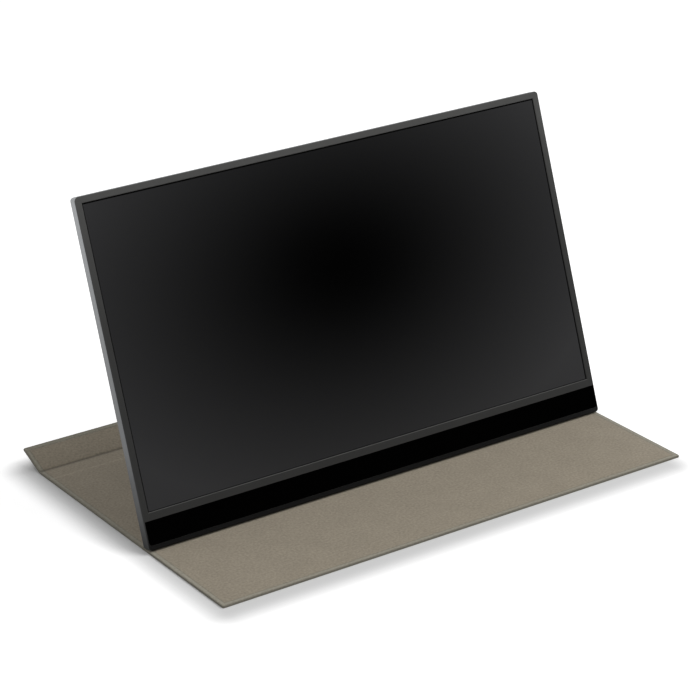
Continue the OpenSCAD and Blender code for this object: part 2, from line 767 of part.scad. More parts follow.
module rear_shell() {
    ledge = 3;
    rib_t = 1.2;
    in_low = foot_h + shell_wall;
    in_w = body_w - 2 * shell_wall;
    in_top = body_h - shell_wall;
    boss_w = leaf_w + 1;
    color(shell_grey) on_screen() difference() {
        union() {
            difference() {
                shell_form();
                intersection() {
                    before_rear_face(shell_wall);
                    between_depths(frame_t - cut, 2 * body_t_low)
                        translate([0, (in_low + in_top) / 2])
                            round_rect(in_w, in_top - in_low, corner_r - shell_wall + 0.2);
                }
            }
            // ledge and ribs that carry the display's tray
            intersection() {
                before_rear_face(shell_wall / 2);
                difference() {
                    translate([-in_w / 2, tray_back, tray_low - 1])
                        cube([in_w, body_t_low, in_top - tray_low + 1]);
                    translate([-in_w / 2 + ledge, 0, tray_low + ledge])
                        cube([in_w - 2 * ledge, 2 * body_t_low, in_top - tray_low - 2 * ledge]);
                }
            }
            intersection() {
                before_rear_face(shell_wall / 2);
                for (x = [-1, 0, 1] * body_w / 4)
                    translate([x - rib_t / 2, tray_back, tray_low])
                        cube([rib_t, body_t_low, tray_h]);
            }
            // studs that carry the timing board
            intersection() {
                before_rear_face(shell_wall / 2);
                for (side = [-1, 1], x = timing_stud_xs)
                    translate([side * x, timing_d + timing_t, timing_low + timing_h / 2])
                        facing_back() cylinder(h = body_t_low, r = timing_stud_r);
            }
            // pads of the hinge brackets, studs of the housing and of the boards
            for (side = [-1, 1])
                translate([side * hinge_x - boss_w / 2, body_t_low / 2, bracket_low + 0.5])
                    cube([boss_w, leaf_d - body_t_low / 2, bracket_h + 1]);
            stud_places() translate([0, body_t_top / 2 + tray_back / 2, 0]) facing_back()
                cylinder(h = housing_in - body_t_top / 2 - tray_back / 2, r = stud_r);
            pcb_stud_places() translate([0, body_t_top / 2 + tray_back / 2, 0]) facing_back()
                cylinder(h = pcb_d - body_t_top / 2 - tray_back / 2, r = pcb_stud_r);
        }
        // keeps the studs out of the display
        translate([-tray_w / 2 - fit, 0, tray_low - fit])
            cube([tray_w + 2 * fit, tray_back, tray_h + 2 * fit]);
        stud_places() translate([0, housing_d, 0]) facing_back() screw_room(housing_screw_l + screw_end);
        pcb_stud_places() translate([0, pcb_d + pcb_t, 0]) facing_back()
            screw_room(board_screw_l + screw_end);
        bracket_screw_places() screw_room(bracket_screw_l + screw_end);
        // passage of the ribbon
        translate([ribbon_x - ribbon_w / 2 - 1, tray_back, ribbon_pass - 1])
            cube([ribbon_w + 2, body_t_low, ribbon_t + 2]);
        // room for the ribbon where it turns down past the ledge
        translate([ribbon_x - ribbon_w / 2 - 1, timing_d + timing_t, tray_low - 3])
            cube([ribbon_w + 2, ribbon_in_d + ribbon_t + 0.3 - timing_d - timing_t, ledge + 4]);
    }
}

grip_l = 60;
grip_h = 10;
grip_t = 0.5;
grip_down = 34;

// steel strips that the cover's two middle magnets hold to
module grip_plates() {
    color(steel) on_screen() on_rear_face() for (i = [1, 2])
        translate([panel_magnet_xs[i] - grip_l / 2, -shell_wall - grip_t, body_h - grip_down])
            cube([grip_l, grip_t, grip_h]);
}

// the housing's solid form, made smaller by inset on every outer side
module housing_form(inset = 0) {
    low = housing_low + inset;
    top = housing_top - 1.5 * inset;
    back = housing_d - inset;
    mid_h = (low + top) / 2;
    intersection() {
        along_width(housing_w - 2 * inset) polygon([
            [tray_back, low], [back - housing_bevel, low], [back, low + housing_bevel],
            [back, top - ramp_h], [body_t(top), top], [tray_back, top]
        ]);
        between_depths(0, housing_d) translate([0, mid_h])
            round_rect(housing_w - 2 * inset, top - low, housing_r - inset);
    }
}

grille_rim = 2.5;
slot_clear = 0.4;           // room around the hinge brackets where they leave the housing
button_clear = 0.2;         // room around each button's cap
audio_rim = 0.7;            // room for the audio socket's collar

// a row of slots through the housing's outer face
module grille(x, s, slot_h, slots, pitch, slot_w) {
    for (place = spread(slots, slots * pitch))
        translate([x + place - slot_w / 2, housing_in - cut, s])
            cube([slot_w, housing_wall + 2 * cut, slot_h]);
}

module rear_housing() {
    slot_w = 2 * (knuckle_out + slot_clear);
    color(housing_grey) on_screen() difference() {
        housing_form();
        housing_form(housing_wall);
        before_rear_face();
        stud_places() translate([0, housing_d, 0]) facing_back() screw_room(2 * housing_wall);
        // slots in the lower wall, where the hinge brackets come out
        for (side = [-1, 1])
            translate([side * hinge_x - slot_w / 2, leaf_d - slot_clear, housing_low - cut])
                cube([slot_w, leaf_t + 2 * slot_clear, housing_wall + 2 * cut]);
        for (side = [-1, 1]) {
            grille(side * speaker_x, speaker_low + grille_rim, speaker_h - 2 * grille_rim,
                   grille_slots, grille_pitch, grille_slot);
            grille(side * vent_x, housing_top - ramp_h - vent_down, vent_h,
                   vent_slots, vent_pitch, vent_slot);
        }
        // mouths of the sockets on the left side
        for (i = [0, 1]) socket_mouth(i, usb_w, usb_t, usb_r);
        socket_mouth(2, hdmi_w, hdmi_t, hdmi_r);
        // mouth of the audio socket, and windows of the buttons, on the right side
        translate([housing_w / 2 - housing_wall - cut, audio_d, audio_h]) rotate([0, 90, 0])
            cylinder(h = housing_wall + 2 * cut, r = audio_r + audio_rim);
        for (i = [0:2]) button_place(i) translate([-housing_wall - cut, 0, 0])
            button_prism(housing_wall + 2 * cut, button_d + 2 * button_clear, button_h + 2 * button_clear);
    }
}

module housing_screws() {
    color(steel) on_screen() stud_places() translate([0, housing_d, 0]) facing_back()
        screw(housing_screw_l);
}

// ---------- hinges ----------

bracket_screw_end = 7;
bracket_screws_low = bracket_h / 3;
bracket_screws_high = bracket_h - bracket_screw_end;

module bracket_screw_places() {
    for (side = [-1, 1], place = [[-leaf_screw_x, bracket_screws_low], [leaf_screw_x, bracket_screws_low],
                                  [0, bracket_screws_high]])
        translate([side * hinge_x + place[0], leaf_d + leaf_t, bracket_low + place[1]])
            facing_back() children();
}

// leaf inside the housing, with the two knuckles that hold the pin
module hinge_bracket(side) {
    gap_w = 2 * knuckle_in;
    color(steel) on_screen() difference() {
        translate([side * hinge_x, 0, 0]) difference() {
            union() {
                translate([0, hinge_d, hinge_h]) rotate([0, 90, 0])
                    cylinder(h = 2 * knuckle_out, r = knuckle_r, center = true);
                translate([-knuckle_out, leaf_d, hinge_h])
                    cube([2 * knuckle_out, leaf_t, bracket_low - hinge_h + 2]);
                translate([-leaf_w / 2, leaf_d, bracket_low + 1])
                    cube([leaf_w, leaf_t, bracket_h]);
            }
            // room between the knuckles for the stand's barrel
            translate([-gap_w / 2, leaf_d - 2 * knuckle_r, hinge_h - 2 * knuckle_r])
                cube([gap_w, 4 * knuckle_r, 3 * knuckle_r + 0.7]);
            translate([0, hinge_d, hinge_h]) rotate([0, 90, 0])
                cylinder(h = 2 * knuckle_out + 2 * cut, r = pin_r + pin_clear, center = true);
        }
        bracket_screw_places() screw_room(2 * leaf_t);
    }
}

module hinge_pin(side) {
    pin_l = 2 * knuckle_out + 2 * pin_clear;
    color([0.55, 0.55, 0.56]) on_screen() translate([side * hinge_x, hinge_d, hinge_h])
        rotate([0, 90, 0]) union() {
            cylinder(h = pin_l + 2 * pin_head_t, r = pin_r, center = true);
            for (end = [-1, 1]) translate([0, 0, end * (pin_l + pin_head_t) / 2])
                cylinder(h = pin_head_t, r = pin_head_r, center = true);
        }
}

module friction_washers() {
    washer_r = knuckle_r - 0.3;
    color([0.8, 0.72, 0.5]) on_screen() for (side = [-1, 1], end = [-1, 1])
        translate([side * hinge_x + end * (barrel_l / 2 + pin_clear + washer_t / 2), hinge_d, hinge_h])
            rotate([0, 90, 0]) difference() {
                cylinder(h = washer_t, r = washer_r, center = true);
                cylinder(h = washer_t + 2 * cut, r = pin_r + pin_clear, center = true);
            }
}

module bracket_screws() {
    color(steel) on_screen() bracket_screw_places() screw(bracket_screw_l);
}

// ---------- boards, sockets and speakers ----------

usb_w = 8.9;
usb_t = 3.2;
usb_r = 1.55;
usb_l = 9;
usb_tongue_w = 6.4;
usb_tongue_t = 0.7;
hdmi_w = 11.2;
hdmi_t = 3.2;
hdmi_r = 0.6;
hdmi_l = 8;
hdmi_tongue_w = 7.6;
hdmi_tongue_t = 1;
tongue_in = 1.6;            // how far a socket's tongue lies behind its mouth
socket_wall = 0.3;
socket_in = 0.3;            // how far a socket's mouth lies inside the housing's side
socket_d = pcb_d + pcb_t / 2;
socket_x = -housing_w / 2 + socket_in;
audio_r = 1.8;
audio_l = 12;
audio_body = 4.6;
audio_w = 6;
audio_d = housing_in - audio_body / 2 - 0.2;

function socket_s(i) = socket_h + i * socket_pitch;

// a socket's outline, drawn out along the width from its mouth inwards
module socket_prism(i, w, t, r, x0, length) {
    translate([socket_x + x0, socket_d, socket_s(i)]) rotate([0, 90, 0])
        linear_extrude(length) round_rect(w, t, r);
}

module socket_mouth(i, w, t, r) {
    socket_prism(i, w + 2 * fit, t + 2 * fit, r + fit, -cut - socket_in, housing_wall + 2 * cut + socket_in);
}

// the sheet-metal shell of a socket, with the tongue inside it
module socket(i, w, t, r, length, tongue_w, tongue_t) {
    difference() {
        socket_prism(i, w, t, r, 0, length);
        socket_prism(i, w - 2 * socket_wall, t - 2 * socket_wall, r - socket_wall, -cut, length);
    }
    translate([socket_x + tongue_in, socket_d - tongue_t / 2, socket_s(i) - tongue_w / 2])
        cube([length - tongue_in - cut / 2, tongue_t, tongue_w]);
}

module usb_c_socket(i) {
    color(steel) on_screen() union() socket(i, usb_w, usb_t, usb_r, usb_l, usb_tongue_w, usb_tongue_t);
}

module mini_hdmi_socket() {
    color(steel) on_screen() union() socket(2, hdmi_w, hdmi_t, hdmi_r, hdmi_l, hdmi_tongue_w, hdmi_tongue_t);
}

module audio_socket() {
    x1 = housing_w / 2 - housing_wall - fit;
    color(gloss_black) on_screen() difference() {
        union() {
            translate([x1 - audio_l, audio_d - audio_body / 2, audio_h - audio_w / 2])
                cube([audio_l, audio_body, audio_w]);
            translate([x1 - 0.5, audio_d, audio_h]) rotate([0, 90, 0])
                cylinder(h = housing_wall + fit + 0.3, r = audio_r + audio_rim - 2 * fit);
        }
        translate([x1 - audio_l + 1, audio_d, audio_h]) rotate([0, 90, 0])
            cylinder(h = 2 * audio_l, r = audio_r);
    }
}

module main_board() {
    color(copper_green) on_screen() difference() {
        translate([main_pcb_x - main_pcb_w / 2, pcb_d, pcb_low]) cube([main_pcb_w, pcb_t, pcb_h]);
        for (i = [0, 1]) socket_prism(i, usb_w + 2 * fit, usb_t + cut, 0.5, -cut, usb_l + cut + fit);
        socket_prism(2, hdmi_w + 2 * fit, hdmi_t + cut, 0.5, -cut, hdmi_l + cut + fit);
        pcb_stud_places() translate([0, pcb_d + pcb_t, 0]) facing_back() screw_room(2 * pcb_t);
    }
}

module side_board() {
    x1 = housing_w / 2 - housing_wall - fit;
    color(copper_green) on_screen() difference() {
        translate([side_pcb_x - side_pcb_w / 2, pcb_d, pcb_low]) cube([side_pcb_w, pcb_t, pcb_h]);
        translate([x1 - audio_l - fit, pcb_d - cut, audio_h - audio_w / 2 - fit])
            cube([audio_l + cut, pcb_t + 2 * cut, audio_w + 2 * fit]);
        pcb_stud_places() translate([0, pcb_d + pcb_t, 0]) facing_back() screw_room(2 * pcb_t);
    }
}

module board_screws() {
    color(steel) on_screen() pcb_stud_places() translate([0, pcb_d + pcb_t, 0]) facing_back()
        screw(board_screw_l);
}

can_w = 38;
can_h = 26.6;
can_t = 1.4;
can_wall = 0.3;
can_off = 6;
can_x = main_pcb_x + can_off;
can_s = pcb_low + (pcb_h - can_h) / 2;
chip_w = 14;

module shield_can() {
    color(steel) on_screen() difference() {
        translate([can_x, pcb_d + pcb_t, can_s]) cube([can_w, can_t, can_h]);
        translate([can_x + can_wall, pcb_d + pcb_t - cut, can_s + can_wall])
            cube([can_w - 2 * can_wall, can_t - can_wall + cut, can_h - 2 * can_wall]);
    }
}

module video_chip() {
    color(gloss_black) on_screen()
        translate([can_x + (can_w - chip_w) / 2, pcb_d + pcb_t, can_s + (can_h - chip_w) / 2])
            cube([chip_w, can_t - can_wall - 0.2, chip_w]);
}

link_w = 10;
link_t = 0.3;
link_over = 8;              // how far the flat cable lies on each board
link_x0 = main_pcb_x + main_pcb_w / 2 - link_over;
link_x1 = side_pcb_x - side_pcb_w / 2 + link_over;

// flat cable between the two boards
module link_cable() {
    color([0.85, 0.85, 0.8]) on_screen()
        translate([link_x0, pcb_d + pcb_t, pcb_low + (pcb_h - link_w) / 2])
            cube([link_x1 - link_x0, link_t, link_w]);
}

module speaker(side) {
    x = side * speaker_x;
    color(rubber) on_screen() difference() {
        translate([x - speaker_w / 2, housing_in - speaker_t, speaker_low])
            cube([speaker_w, speaker_t, speaker_h]);
        translate([x - speaker_w / 2 + speaker_rim, housing_in - speaker_dish, speaker_low + speaker_rim])
            cube([speaker_w - 2 * speaker_rim, speaker_dish + cut, speaker_h - 2 * speaker_rim]);
    }
}

// ---------- buttons ----------

flange_t = 0.8;
flange_rim_d = 0.5;
flange_rim_h = 0.8;
flange_gap = 0.05;
switch_w = 4;
switch_t = 1.2;
switch_gap = 0.6;
plunger_w = 2;
plunger_t = 0.8;
switch_in = 4;

// places the mouth of a button at the outer face of the housing's right side
module button_place(i) {
    translate([housing_w / 2, socket_d, button_s + i * button_pitch]) children();
}

// a button's outline, drawn out towards +x from the origin
module button_prism(length, d, h) {
    rotate([90, 0, 90]) linear_extrude(length) round_rect(d, h, d / 2 - 0.05);
}

module button(i) {
    color(frame_grey) on_screen() button_place(i) union() {
        translate([-housing_wall - flange_t, 0, 0])
            button_prism(housing_wall + flange_t + button_out, button_d, button_h);
        translate([-housing_wall - flange_t - flange_gap, -button_d / 2 - flange_rim_d,
                   -button_h / 2 - flange_rim_h])
            cube([flange_t, button_d + 2 * flange_rim_d, button_h + 2 * flange_rim_h]);
    }
}

// switches on the side board, one behind each button
module key_switches() {
    x0 = side_pcb_x + side_pcb_w / 2 - switch_in;
    x1 = housing_w / 2 - housing_wall - flange_t - flange_gap - button_travel - fit;
    color("silver") on_screen() for (i = [0:2])
        translate([0, socket_d, button_s + i * button_pitch]) {
            translate([x0, pcb_t / 2, -switch_w / 2]) cube([x1 - x0 - switch_gap, switch_t, switch_w]);
            translate([x1 - switch_gap - fit, pcb_t / 2 + (switch_t - plunger_t) / 2, -plunger_w / 2])
                cube([switch_gap + fit, plunger_t, plunger_w]);
        }
}

panel_skin();
panel_board();
panel_lining();
panel_magnets();
spine_skin();
spine_board();
spine_lining();
flap_skin();
flap_board();
flap_lining();
flap_magnets();
stand_plate();
stand_pads();
stand_leaf(-1);  // stand_leaf_left
stand_leaf(1);  // stand_leaf_right
stand_screws();
front_frame();
chin_strip();
front_polariser();
lcd_glass();
optical_sheets();
light_guide();
reflector_sheet();
panel_tray();
lamp_strip();
timing_board();
display_ribbon();
rear_shell();
grip_plates();
rear_housing();
housing_screws();
hinge_bracket(-1);  // hinge_bracket_left
hinge_bracket(1);  // hinge_bracket_right
hinge_pin(-1);  // hinge_pin_left
hinge_pin(1);  // hinge_pin_right
friction_washers();
bracket_screws();
main_board();
shield_can();
video_chip();
board_screws();
usb_c_socket(0);  // usb_c_socket_lower
usb_c_socket(1);  // usb_c_socket_upper
mini_hdmi_socket();
audio_socket();
side_board();
key_switches();
link_cable();
speaker(-1);  // speaker_left
speaker(1);  // speaker_right
button(0);  // menu_down_button
button(1);  // menu_up_button
button(2);  // power_button
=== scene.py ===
"""Dresses a portable monitor that stands on its folding cover, and sets the studio round it.

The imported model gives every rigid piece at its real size. This script gives each piece its finish, and models
the cover's woven lining and grained skin, which bend at the cover's two creases. Sizes are in metres.
"""

import json
import logging
import math
from dataclasses import dataclass, field
from enum import Enum
from typing import Protocol

import bmesh
import bpy
from mathutils import Matrix, Vector


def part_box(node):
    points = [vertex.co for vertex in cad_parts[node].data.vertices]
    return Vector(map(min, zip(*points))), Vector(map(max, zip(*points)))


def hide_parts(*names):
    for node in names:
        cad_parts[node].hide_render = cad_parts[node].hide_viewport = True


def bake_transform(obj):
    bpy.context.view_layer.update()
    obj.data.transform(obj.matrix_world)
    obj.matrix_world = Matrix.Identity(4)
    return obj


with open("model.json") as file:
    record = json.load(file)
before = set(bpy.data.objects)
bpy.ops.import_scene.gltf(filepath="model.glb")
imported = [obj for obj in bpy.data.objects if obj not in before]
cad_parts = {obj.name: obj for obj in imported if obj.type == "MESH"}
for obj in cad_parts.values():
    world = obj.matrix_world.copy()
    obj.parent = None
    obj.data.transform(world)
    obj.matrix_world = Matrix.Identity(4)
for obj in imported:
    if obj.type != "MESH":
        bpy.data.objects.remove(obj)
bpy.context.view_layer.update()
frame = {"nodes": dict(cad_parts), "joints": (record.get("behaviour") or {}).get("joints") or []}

MM = 0.001
BLACK = (0.0, 0.0, 0.0)
WHITE = (1.0, 1.0, 1.0)
# A half size that leaves its axis out of a comparison
EVERYWHERE = 1e3
# The values that a noise mostly keeps to
NOISE_LOW, NOISE_HIGH = 0.3, 0.7
# The width of one wave of a wave pattern, times its scale
WAVE_SPAN = 0.31
# Cuts closer than this to a vertex go through it
CUT_REACH = 1e-7
log = logging.getLogger("portable_monitor")

Socket = bpy.types.NodeSocket
Triple = tuple[float, float, float]
Stops = tuple[tuple[float, float], ...]
Inputs = dict[str | int, object]


def srgb(red: int, green: int, blue: int) -> Triple:
    """Turns a colour on the 0 to 255 scale into the linear values that the shaders take.

    Args:
        red: Red, 0 to 255.
        green: Green, 0 to 255.
        blue: Blue, 0 to 255.

    Returns:
        The linear colour.
    """
    def linear(value: int) -> float:
        """Turns one channel linear."""
        share = value / 255
        return share / 12.92 if share <= 0.04045 else ((share + 0.055) / 1.055) ** 2.4

    return linear(red), linear(green), linear(blue)


def shade(colour: Triple, by: float) -> Triple:
    """Makes a colour lighter or darker by a factor."""
    return tuple(min(1.0, channel * by) for channel in colour)


# ---------------------------------------------------------------- finishes


class Reads(Enum):
    """What a finish reads at a place."""

    OBJECT = "Object"
    FLAT = "UV"
    NORMAL = "Normal"


class Graph:
    """A node tree, with short ways to add and join its nodes."""

    def __init__(self, tree: bpy.types.NodeTree) -> None:
        """Empties the tree and starts from there."""
        self.tree = tree
        self.tree.nodes.clear()

    def join(self, source: Socket, target: Socket) -> None:
        """Links one socket to another."""
        self.tree.links.new(source, target)

    def add(self, kind: str, inputs: Inputs | None = None, **settings: object) -> bpy.types.Node:
        """Adds a node.

        Args:
            kind: The node's type, without its ShaderNode prefix.
            inputs: Values or sockets by input name or number.
            settings: The node's own properties.

        Returns:
            The node.
        """
        node = self.tree.nodes.new("ShaderNode" + kind)
        for key, value in settings.items():
            setattr(node, key, value)
        for key, value in (inputs or {}).items():
            if isinstance(value, Socket):
                self.join(value, node.inputs[key])
            else:
                node.inputs[key].default_value = value
        return node

    def read(self, what: Reads = Reads.OBJECT) -> Socket:
        """Gives the coordinates or the normal that a finish reads."""
        return self.add("TexCoord").outputs[what.value]

    def axis(self, vector: Socket, name: str) -> Socket:
        """Gives one axis of a vector."""
        return self.add("SeparateXYZ", {"Vector": vector}).outputs[name]

    def noise(self, place: Socket, size: float, detail: float = 3.0) -> Socket:
        """Adds noise whose features are about size metres wide, and returns its value."""
        return self.add("TexNoise", {"Vector": place, "Scale": 1 / size, "Detail": detail}).outputs["Fac"]

    def calculate(self, operation: str, first: object, second: object = 0.0) -> Socket:
        """Adds a math node on values or sockets, and returns its value."""
        return self.add("Math", {0: first, 1: second}, operation=operation).outputs["Value"]

    def vector(self, operation: str, first: object, second: object = (0, 0, 0)) -> Socket:
        """Adds a math node on vectors, and returns its vector, or the value of a product or length."""
        outputs = self.add("VectorMath", {0: first, 1: second}, operation=operation).outputs
        return outputs["Value" if operation in ("DOT_PRODUCT", "LENGTH") else "Vector"]

    def remap(self, value: Socket, start: float = 0.0, end: float = 1.0, low: float = 0.0, high: float = 1.0,
              smooth: bool = False) -> Socket:
        """Maps a value onto another range, and keeps it inside that range.

        Args:
            value: The value that is read.
            start: The value that becomes low.
            end: The value that becomes high.
            low: What start becomes.
            high: What end becomes.
            smooth: Whether the change starts and ends softly.

        Returns:
            The value socket.
        """
        span = {"Value": value, "From Min": start, "From Max": end, "To Min": low, "To Max": high}
        kind = "SMOOTHSTEP" if smooth else "LINEAR"
        return self.add("MapRange", span, interpolation_type=kind).outputs["Result"]

    def vary(self, value: Socket, spread: float) -> Socket:
        """Turns a noise into factors that lie round 1, at most spread away from it."""
        return self.remap(value, NOISE_LOW, NOISE_HIGH, 1 - spread, 1 + spread)

    def ramp(self, value: Socket, *stops: tuple[float, Triple]) -> Socket:
        """Colours a value.

        Args:
            value: The value that is read.
            stops: Pairs of a value and the colour there, from the lowest up.

        Returns:
            The colour socket.
        """
        node = self.add("ValToRGB", {"Fac": value})
        marks = node.color_ramp.elements
        for index, (place, colour) in enumerate(stops):
            mark = marks[index] if index < len(marks) else marks.new(place)
            mark.position, mark.color = place, (*colour, 1)
        return node.outputs["Color"]

    def mottle(self, noise: Socket, colour: Triple, spread: float) -> Socket:
        """Makes a colour lighter and darker with a noise, by a share of it."""
        low, high = shade(colour, 1 - spread), shade(colour, 1 + spread)
        return self.ramp(noise, (NOISE_LOW, low), (NOISE_HIGH, high))

    def blend(self, factor: object, first: object, second: object) -> Socket:
        """Mixes two colours, given as values or sockets, and returns the colour socket."""
        colours = {index: value if isinstance(value, Socket) else (*value, 1)
                   for index, value in ((6, first), (7, second))}
        return self.add("Mix", {0: factor, **colours}, data_type="RGBA").outputs[2]

    def shade_by_height(self, colour: object, stops: Stops) -> Socket:
        """Paints shade into a colour: darkens it by a share that changes with the height above the table.

        Args:
            colour: The colour, as a value or a socket.
            stops: Pairs of a height and the share there, from the lowest up. A share above 1 acts as 1.

        Returns:
            The colour socket.
        """
        top = stops[-1][0]
        level = self.calculate("DIVIDE", self.axis(self.read(), "Z"), top)
        share = self.ramp(level, *((height / top, (share, share, share)) for height, share in stops))
        return self.blend(share, BLACK, colour)

    def beyond(self, middle: Triple, half: Triple) -> Socket:
        """Gives 1 outside a box and 0 inside it, seen from the front.

        Args:
            middle: The box's middle.
            half: The box's half sizes.

        Returns:
            The value socket.
        """
        away = self.vector("ABSOLUTE", self.vector("SUBTRACT", self.read(), middle))
        share = self.vector("DIVIDE", away, half)
        reach = self.calculate("MAXIMUM", self.axis(share, "X"), self.axis(share, "Z"))
        return self.calculate("GREATER_THAN", reach, 1.0)

    def looked_at(self) -> Socket:
        """Gives 1 to the camera's rays, straight, mirrored or through glass, and 0 to other light."""
        path = self.add("LightPath").outputs
        turned = self.calculate("MAXIMUM", path["Is Glossy Ray"], path["Is Transmission Ray"])
        return self.calculate("MAXIMUM", path["Is Camera Ray"], turned)


class Coating(Graph):
    """The node tree of one material, with one Principled shader."""

    def __init__(self, name: str) -> None:
        """Starts a material of that name."""
        self.material = bpy.data.materials.new(name)
        self.material.use_nodes = True
        super().__init__(self.material.node_tree)
        self.shader = self.add("BsdfPrincipled")
        self.output = self.add("OutputMaterial", {"Surface": self.shader.outputs["BSDF"]})

    def surface(self, **values: object) -> None:
        """Sets values or sockets on the shader, by input name with underscores for spaces."""
        for key, value in values.items():
            target = self.shader.inputs[key.replace("_", " ")]
            if isinstance(value, Socket):
                self.join(value, target)
            else:
                target.default_value = value

    def bump(self, height: Socket, depth: float, strength: float = 1.0) -> None:
        """Raises the surface by a height.

        Args:
            height: The height, 0 to 1.
            depth: How far 1 stands above 0, in metres.
            strength: Share of the effect.
        """
        node = self.add("Bump", {"Height": height, "Distance": depth, "Strength": strength})
        normal = self.shader.inputs["Normal"]
        if normal.is_linked:
            self.join(normal.links[0].from_socket, node.inputs["Normal"])
        self.join(node.outputs["Normal"], normal)


class Finish(Protocol):
    """A finish of the object's pieces."""

    def build(self) -> bpy.types.Material:
        """Builds the material."""


@dataclass(frozen=True)
class MouldedPlastic:
    """Moulded plastic or rubber with a fine eroded grain."""

    name: str
    colour: Triple
    roughness: float = 0.5
    grain: float = 0.35 * MM
    depth: float = 0.012 * MM
    gloss: float = 0.4
    rough_spread: float = 0.05
    cloud: float = 40 * MM
    cloud_spread: float = 0.06

    def dress(self, graph: Coating) -> Socket:
        """Sets the grain and gloss in a tree, and gives the colour, which isn't joined yet."""
        place = graph.read()
        fine = graph.noise(place, self.grain, 2.0)
        low, high = self.roughness - self.rough_spread, self.roughness + self.rough_spread
        graph.surface(Roughness=graph.remap(fine, low=low, high=high), Specular_IOR_Level=self.gloss)
        graph.bump(fine, self.depth)
        return graph.mottle(graph.noise(place, self.cloud), self.colour, self.cloud_spread)

    def build(self) -> bpy.types.Material:
        """Builds the material."""
        graph = Coating(self.name)
        graph.surface(Base_Color=self.dress(graph))
        return graph.material


@dataclass(frozen=True, kw_only=True)
class RimmedMoulding(MouldedPlastic):
    """Moulded plastic whose outer walls are coated as bare metal, so that only its face stays dark.

    The walls lie outside the middle and half sizes, where the surface turns off the face, in the range that
    wall_turn gives. The face and the walls get painted shade that darkens them towards the table. The bevel
    below the window faces up and gets a painted highlight.
    """

    shade_tones: Stops
    rim: Triple
    rim_shade_tones: Stops
    sill_highlight: Triple
    facing: Triple
    middle: Triple
    half: Triple
    wall_turn: tuple[float, float] = (0.75, 0.35)
    sill_highlight_turn: tuple[float, float] = (0.65, 0.85)
    metallic: float = 0.9

    def build(self) -> bpy.types.Material:
        """Builds the material."""
        graph = Coating(self.name)
        normal = graph.read(Reads.NORMAL)
        wall = graph.remap(graph.vector("DOT_PRODUCT", normal, self.facing), *self.wall_turn, smooth=True)
        share = graph.calculate("MULTIPLY", wall, graph.beyond(self.middle, self.half))
        # Painted highlight on the bevel below the window, where the normal turns up
        sill_highlight = graph.remap(graph.axis(normal, "Z"), *self.sill_highlight_turn)
        # The face gets painted shade by height, darkest along the table
        face = graph.blend(sill_highlight, graph.shade_by_height(self.dress(graph), self.shade_tones), self.sill_highlight)
        # The metal walls get painted shade by height, darker towards the table
        metal = graph.shade_by_height(self.rim, self.rim_shade_tones)
        graph.surface(Base_Color=graph.blend(share, face, metal),
                      Metallic=graph.calculate("MULTIPLY", share, self.metallic))
        return graph.material


@dataclass(frozen=True)
class GlossPlastic:
    """Smooth polished plastic, glass or film."""

    name: str
    colour: Triple
    roughness: float = 0.05
    gloss: float = 0.5
    wave: float = 60 * MM
    wave_depth: float = 0.02 * MM
    spread: float = 0.1

    def build(self) -> bpy.types.Material:
        """Builds the material."""
        graph = Coating(self.name)
        wave = graph.noise(graph.read(), self.wave, 1.0)
        graph.surface(Base_Color=graph.mottle(wave, self.colour, self.spread), Roughness=self.roughness,
                      Specular_IOR_Level=self.gloss)
        graph.bump(wave, self.wave_depth, 0.3)
        return graph.material


@dataclass(frozen=True)
class SatinMetal:
    """Blasted or brushed metal, which can have painted shade by height on the walls that face sideways."""

    name: str
    colour: Triple
    roughness: float = 0.4
    side_shade_tones: Stops = ()
    side_turn: tuple[float, float] = (0.3, 0.7)
    grain: float = 0.25 * MM
    depth: float = 0.008 * MM
    rough_spread: float = 0.07
    cloud: float = 50 * MM
    cloud_spread: float = 0.05
    metallic: float = 0.9

    def build(self) -> bpy.types.Material:
        """Builds the material."""
        graph = Coating(self.name)
        fine = graph.noise(graph.read(), self.grain)
        tone = graph.mottle(graph.noise(graph.read(), self.cloud), self.colour, self.cloud_spread)
        # Painted shade by height on the walls that face sideways
        if self.side_shade_tones:
            sideways = graph.calculate("ABSOLUTE", graph.axis(graph.read(Reads.NORMAL), "X"))
            side = graph.remap(sideways, *self.side_turn, smooth=True)
            tone = graph.blend(side, tone, graph.shade_by_height(tone, self.side_shade_tones))
        low, high = self.roughness - self.rough_spread, self.roughness + self.rough_spread
        graph.surface(Base_Color=tone, Roughness=graph.remap(fine, low=low, high=high), Metallic=self.metallic)
        graph.bump(fine, self.depth)
        return graph.material


@dataclass(frozen=True)
class ScreenFilm:
    """Anti-glare film over a dark panel, with a painted reflection that lightens it towards its edges.

    A band along its top and right edges is black, as painted shade of the frame's recess.
    """

    name: str
    dark: Triple
    light: Triple
    centre: Triple
    reach: Triple
    unshaded_middle: Triple
    unshaded_half: Triple
    falloff: float = 1.9
    roughness: float = 0.3
    gloss: float = 0.04
    sparkle: float = 0.12 * MM
    sparkle_depth: float = 0.002 * MM

    def build(self) -> bpy.types.Material:
        """Builds the material, which is black in a band along the top and right edges, as painted shade."""
        graph = Coating(self.name)
        # Painted reflection: lighter away from the darkest place
        away = graph.vector("DIVIDE", graph.vector("SUBTRACT", graph.read(), self.centre), self.reach)
        far = graph.calculate("MINIMUM", graph.vector("LENGTH", away), 1.0)
        tone = graph.blend(graph.calculate("POWER", far, self.falloff), self.dark, self.light)
        # Painted shade: black in a band along the top and right edges
        shade_band = graph.beyond(self.unshaded_middle, self.unshaded_half)
        graph.surface(Base_Color=graph.blend(shade_band, tone, BLACK), Roughness=self.roughness,
                      Specular_IOR_Level=self.gloss)
        graph.bump(graph.noise(graph.read(), self.sparkle, 1.0), self.sparkle_depth)
        return graph.material


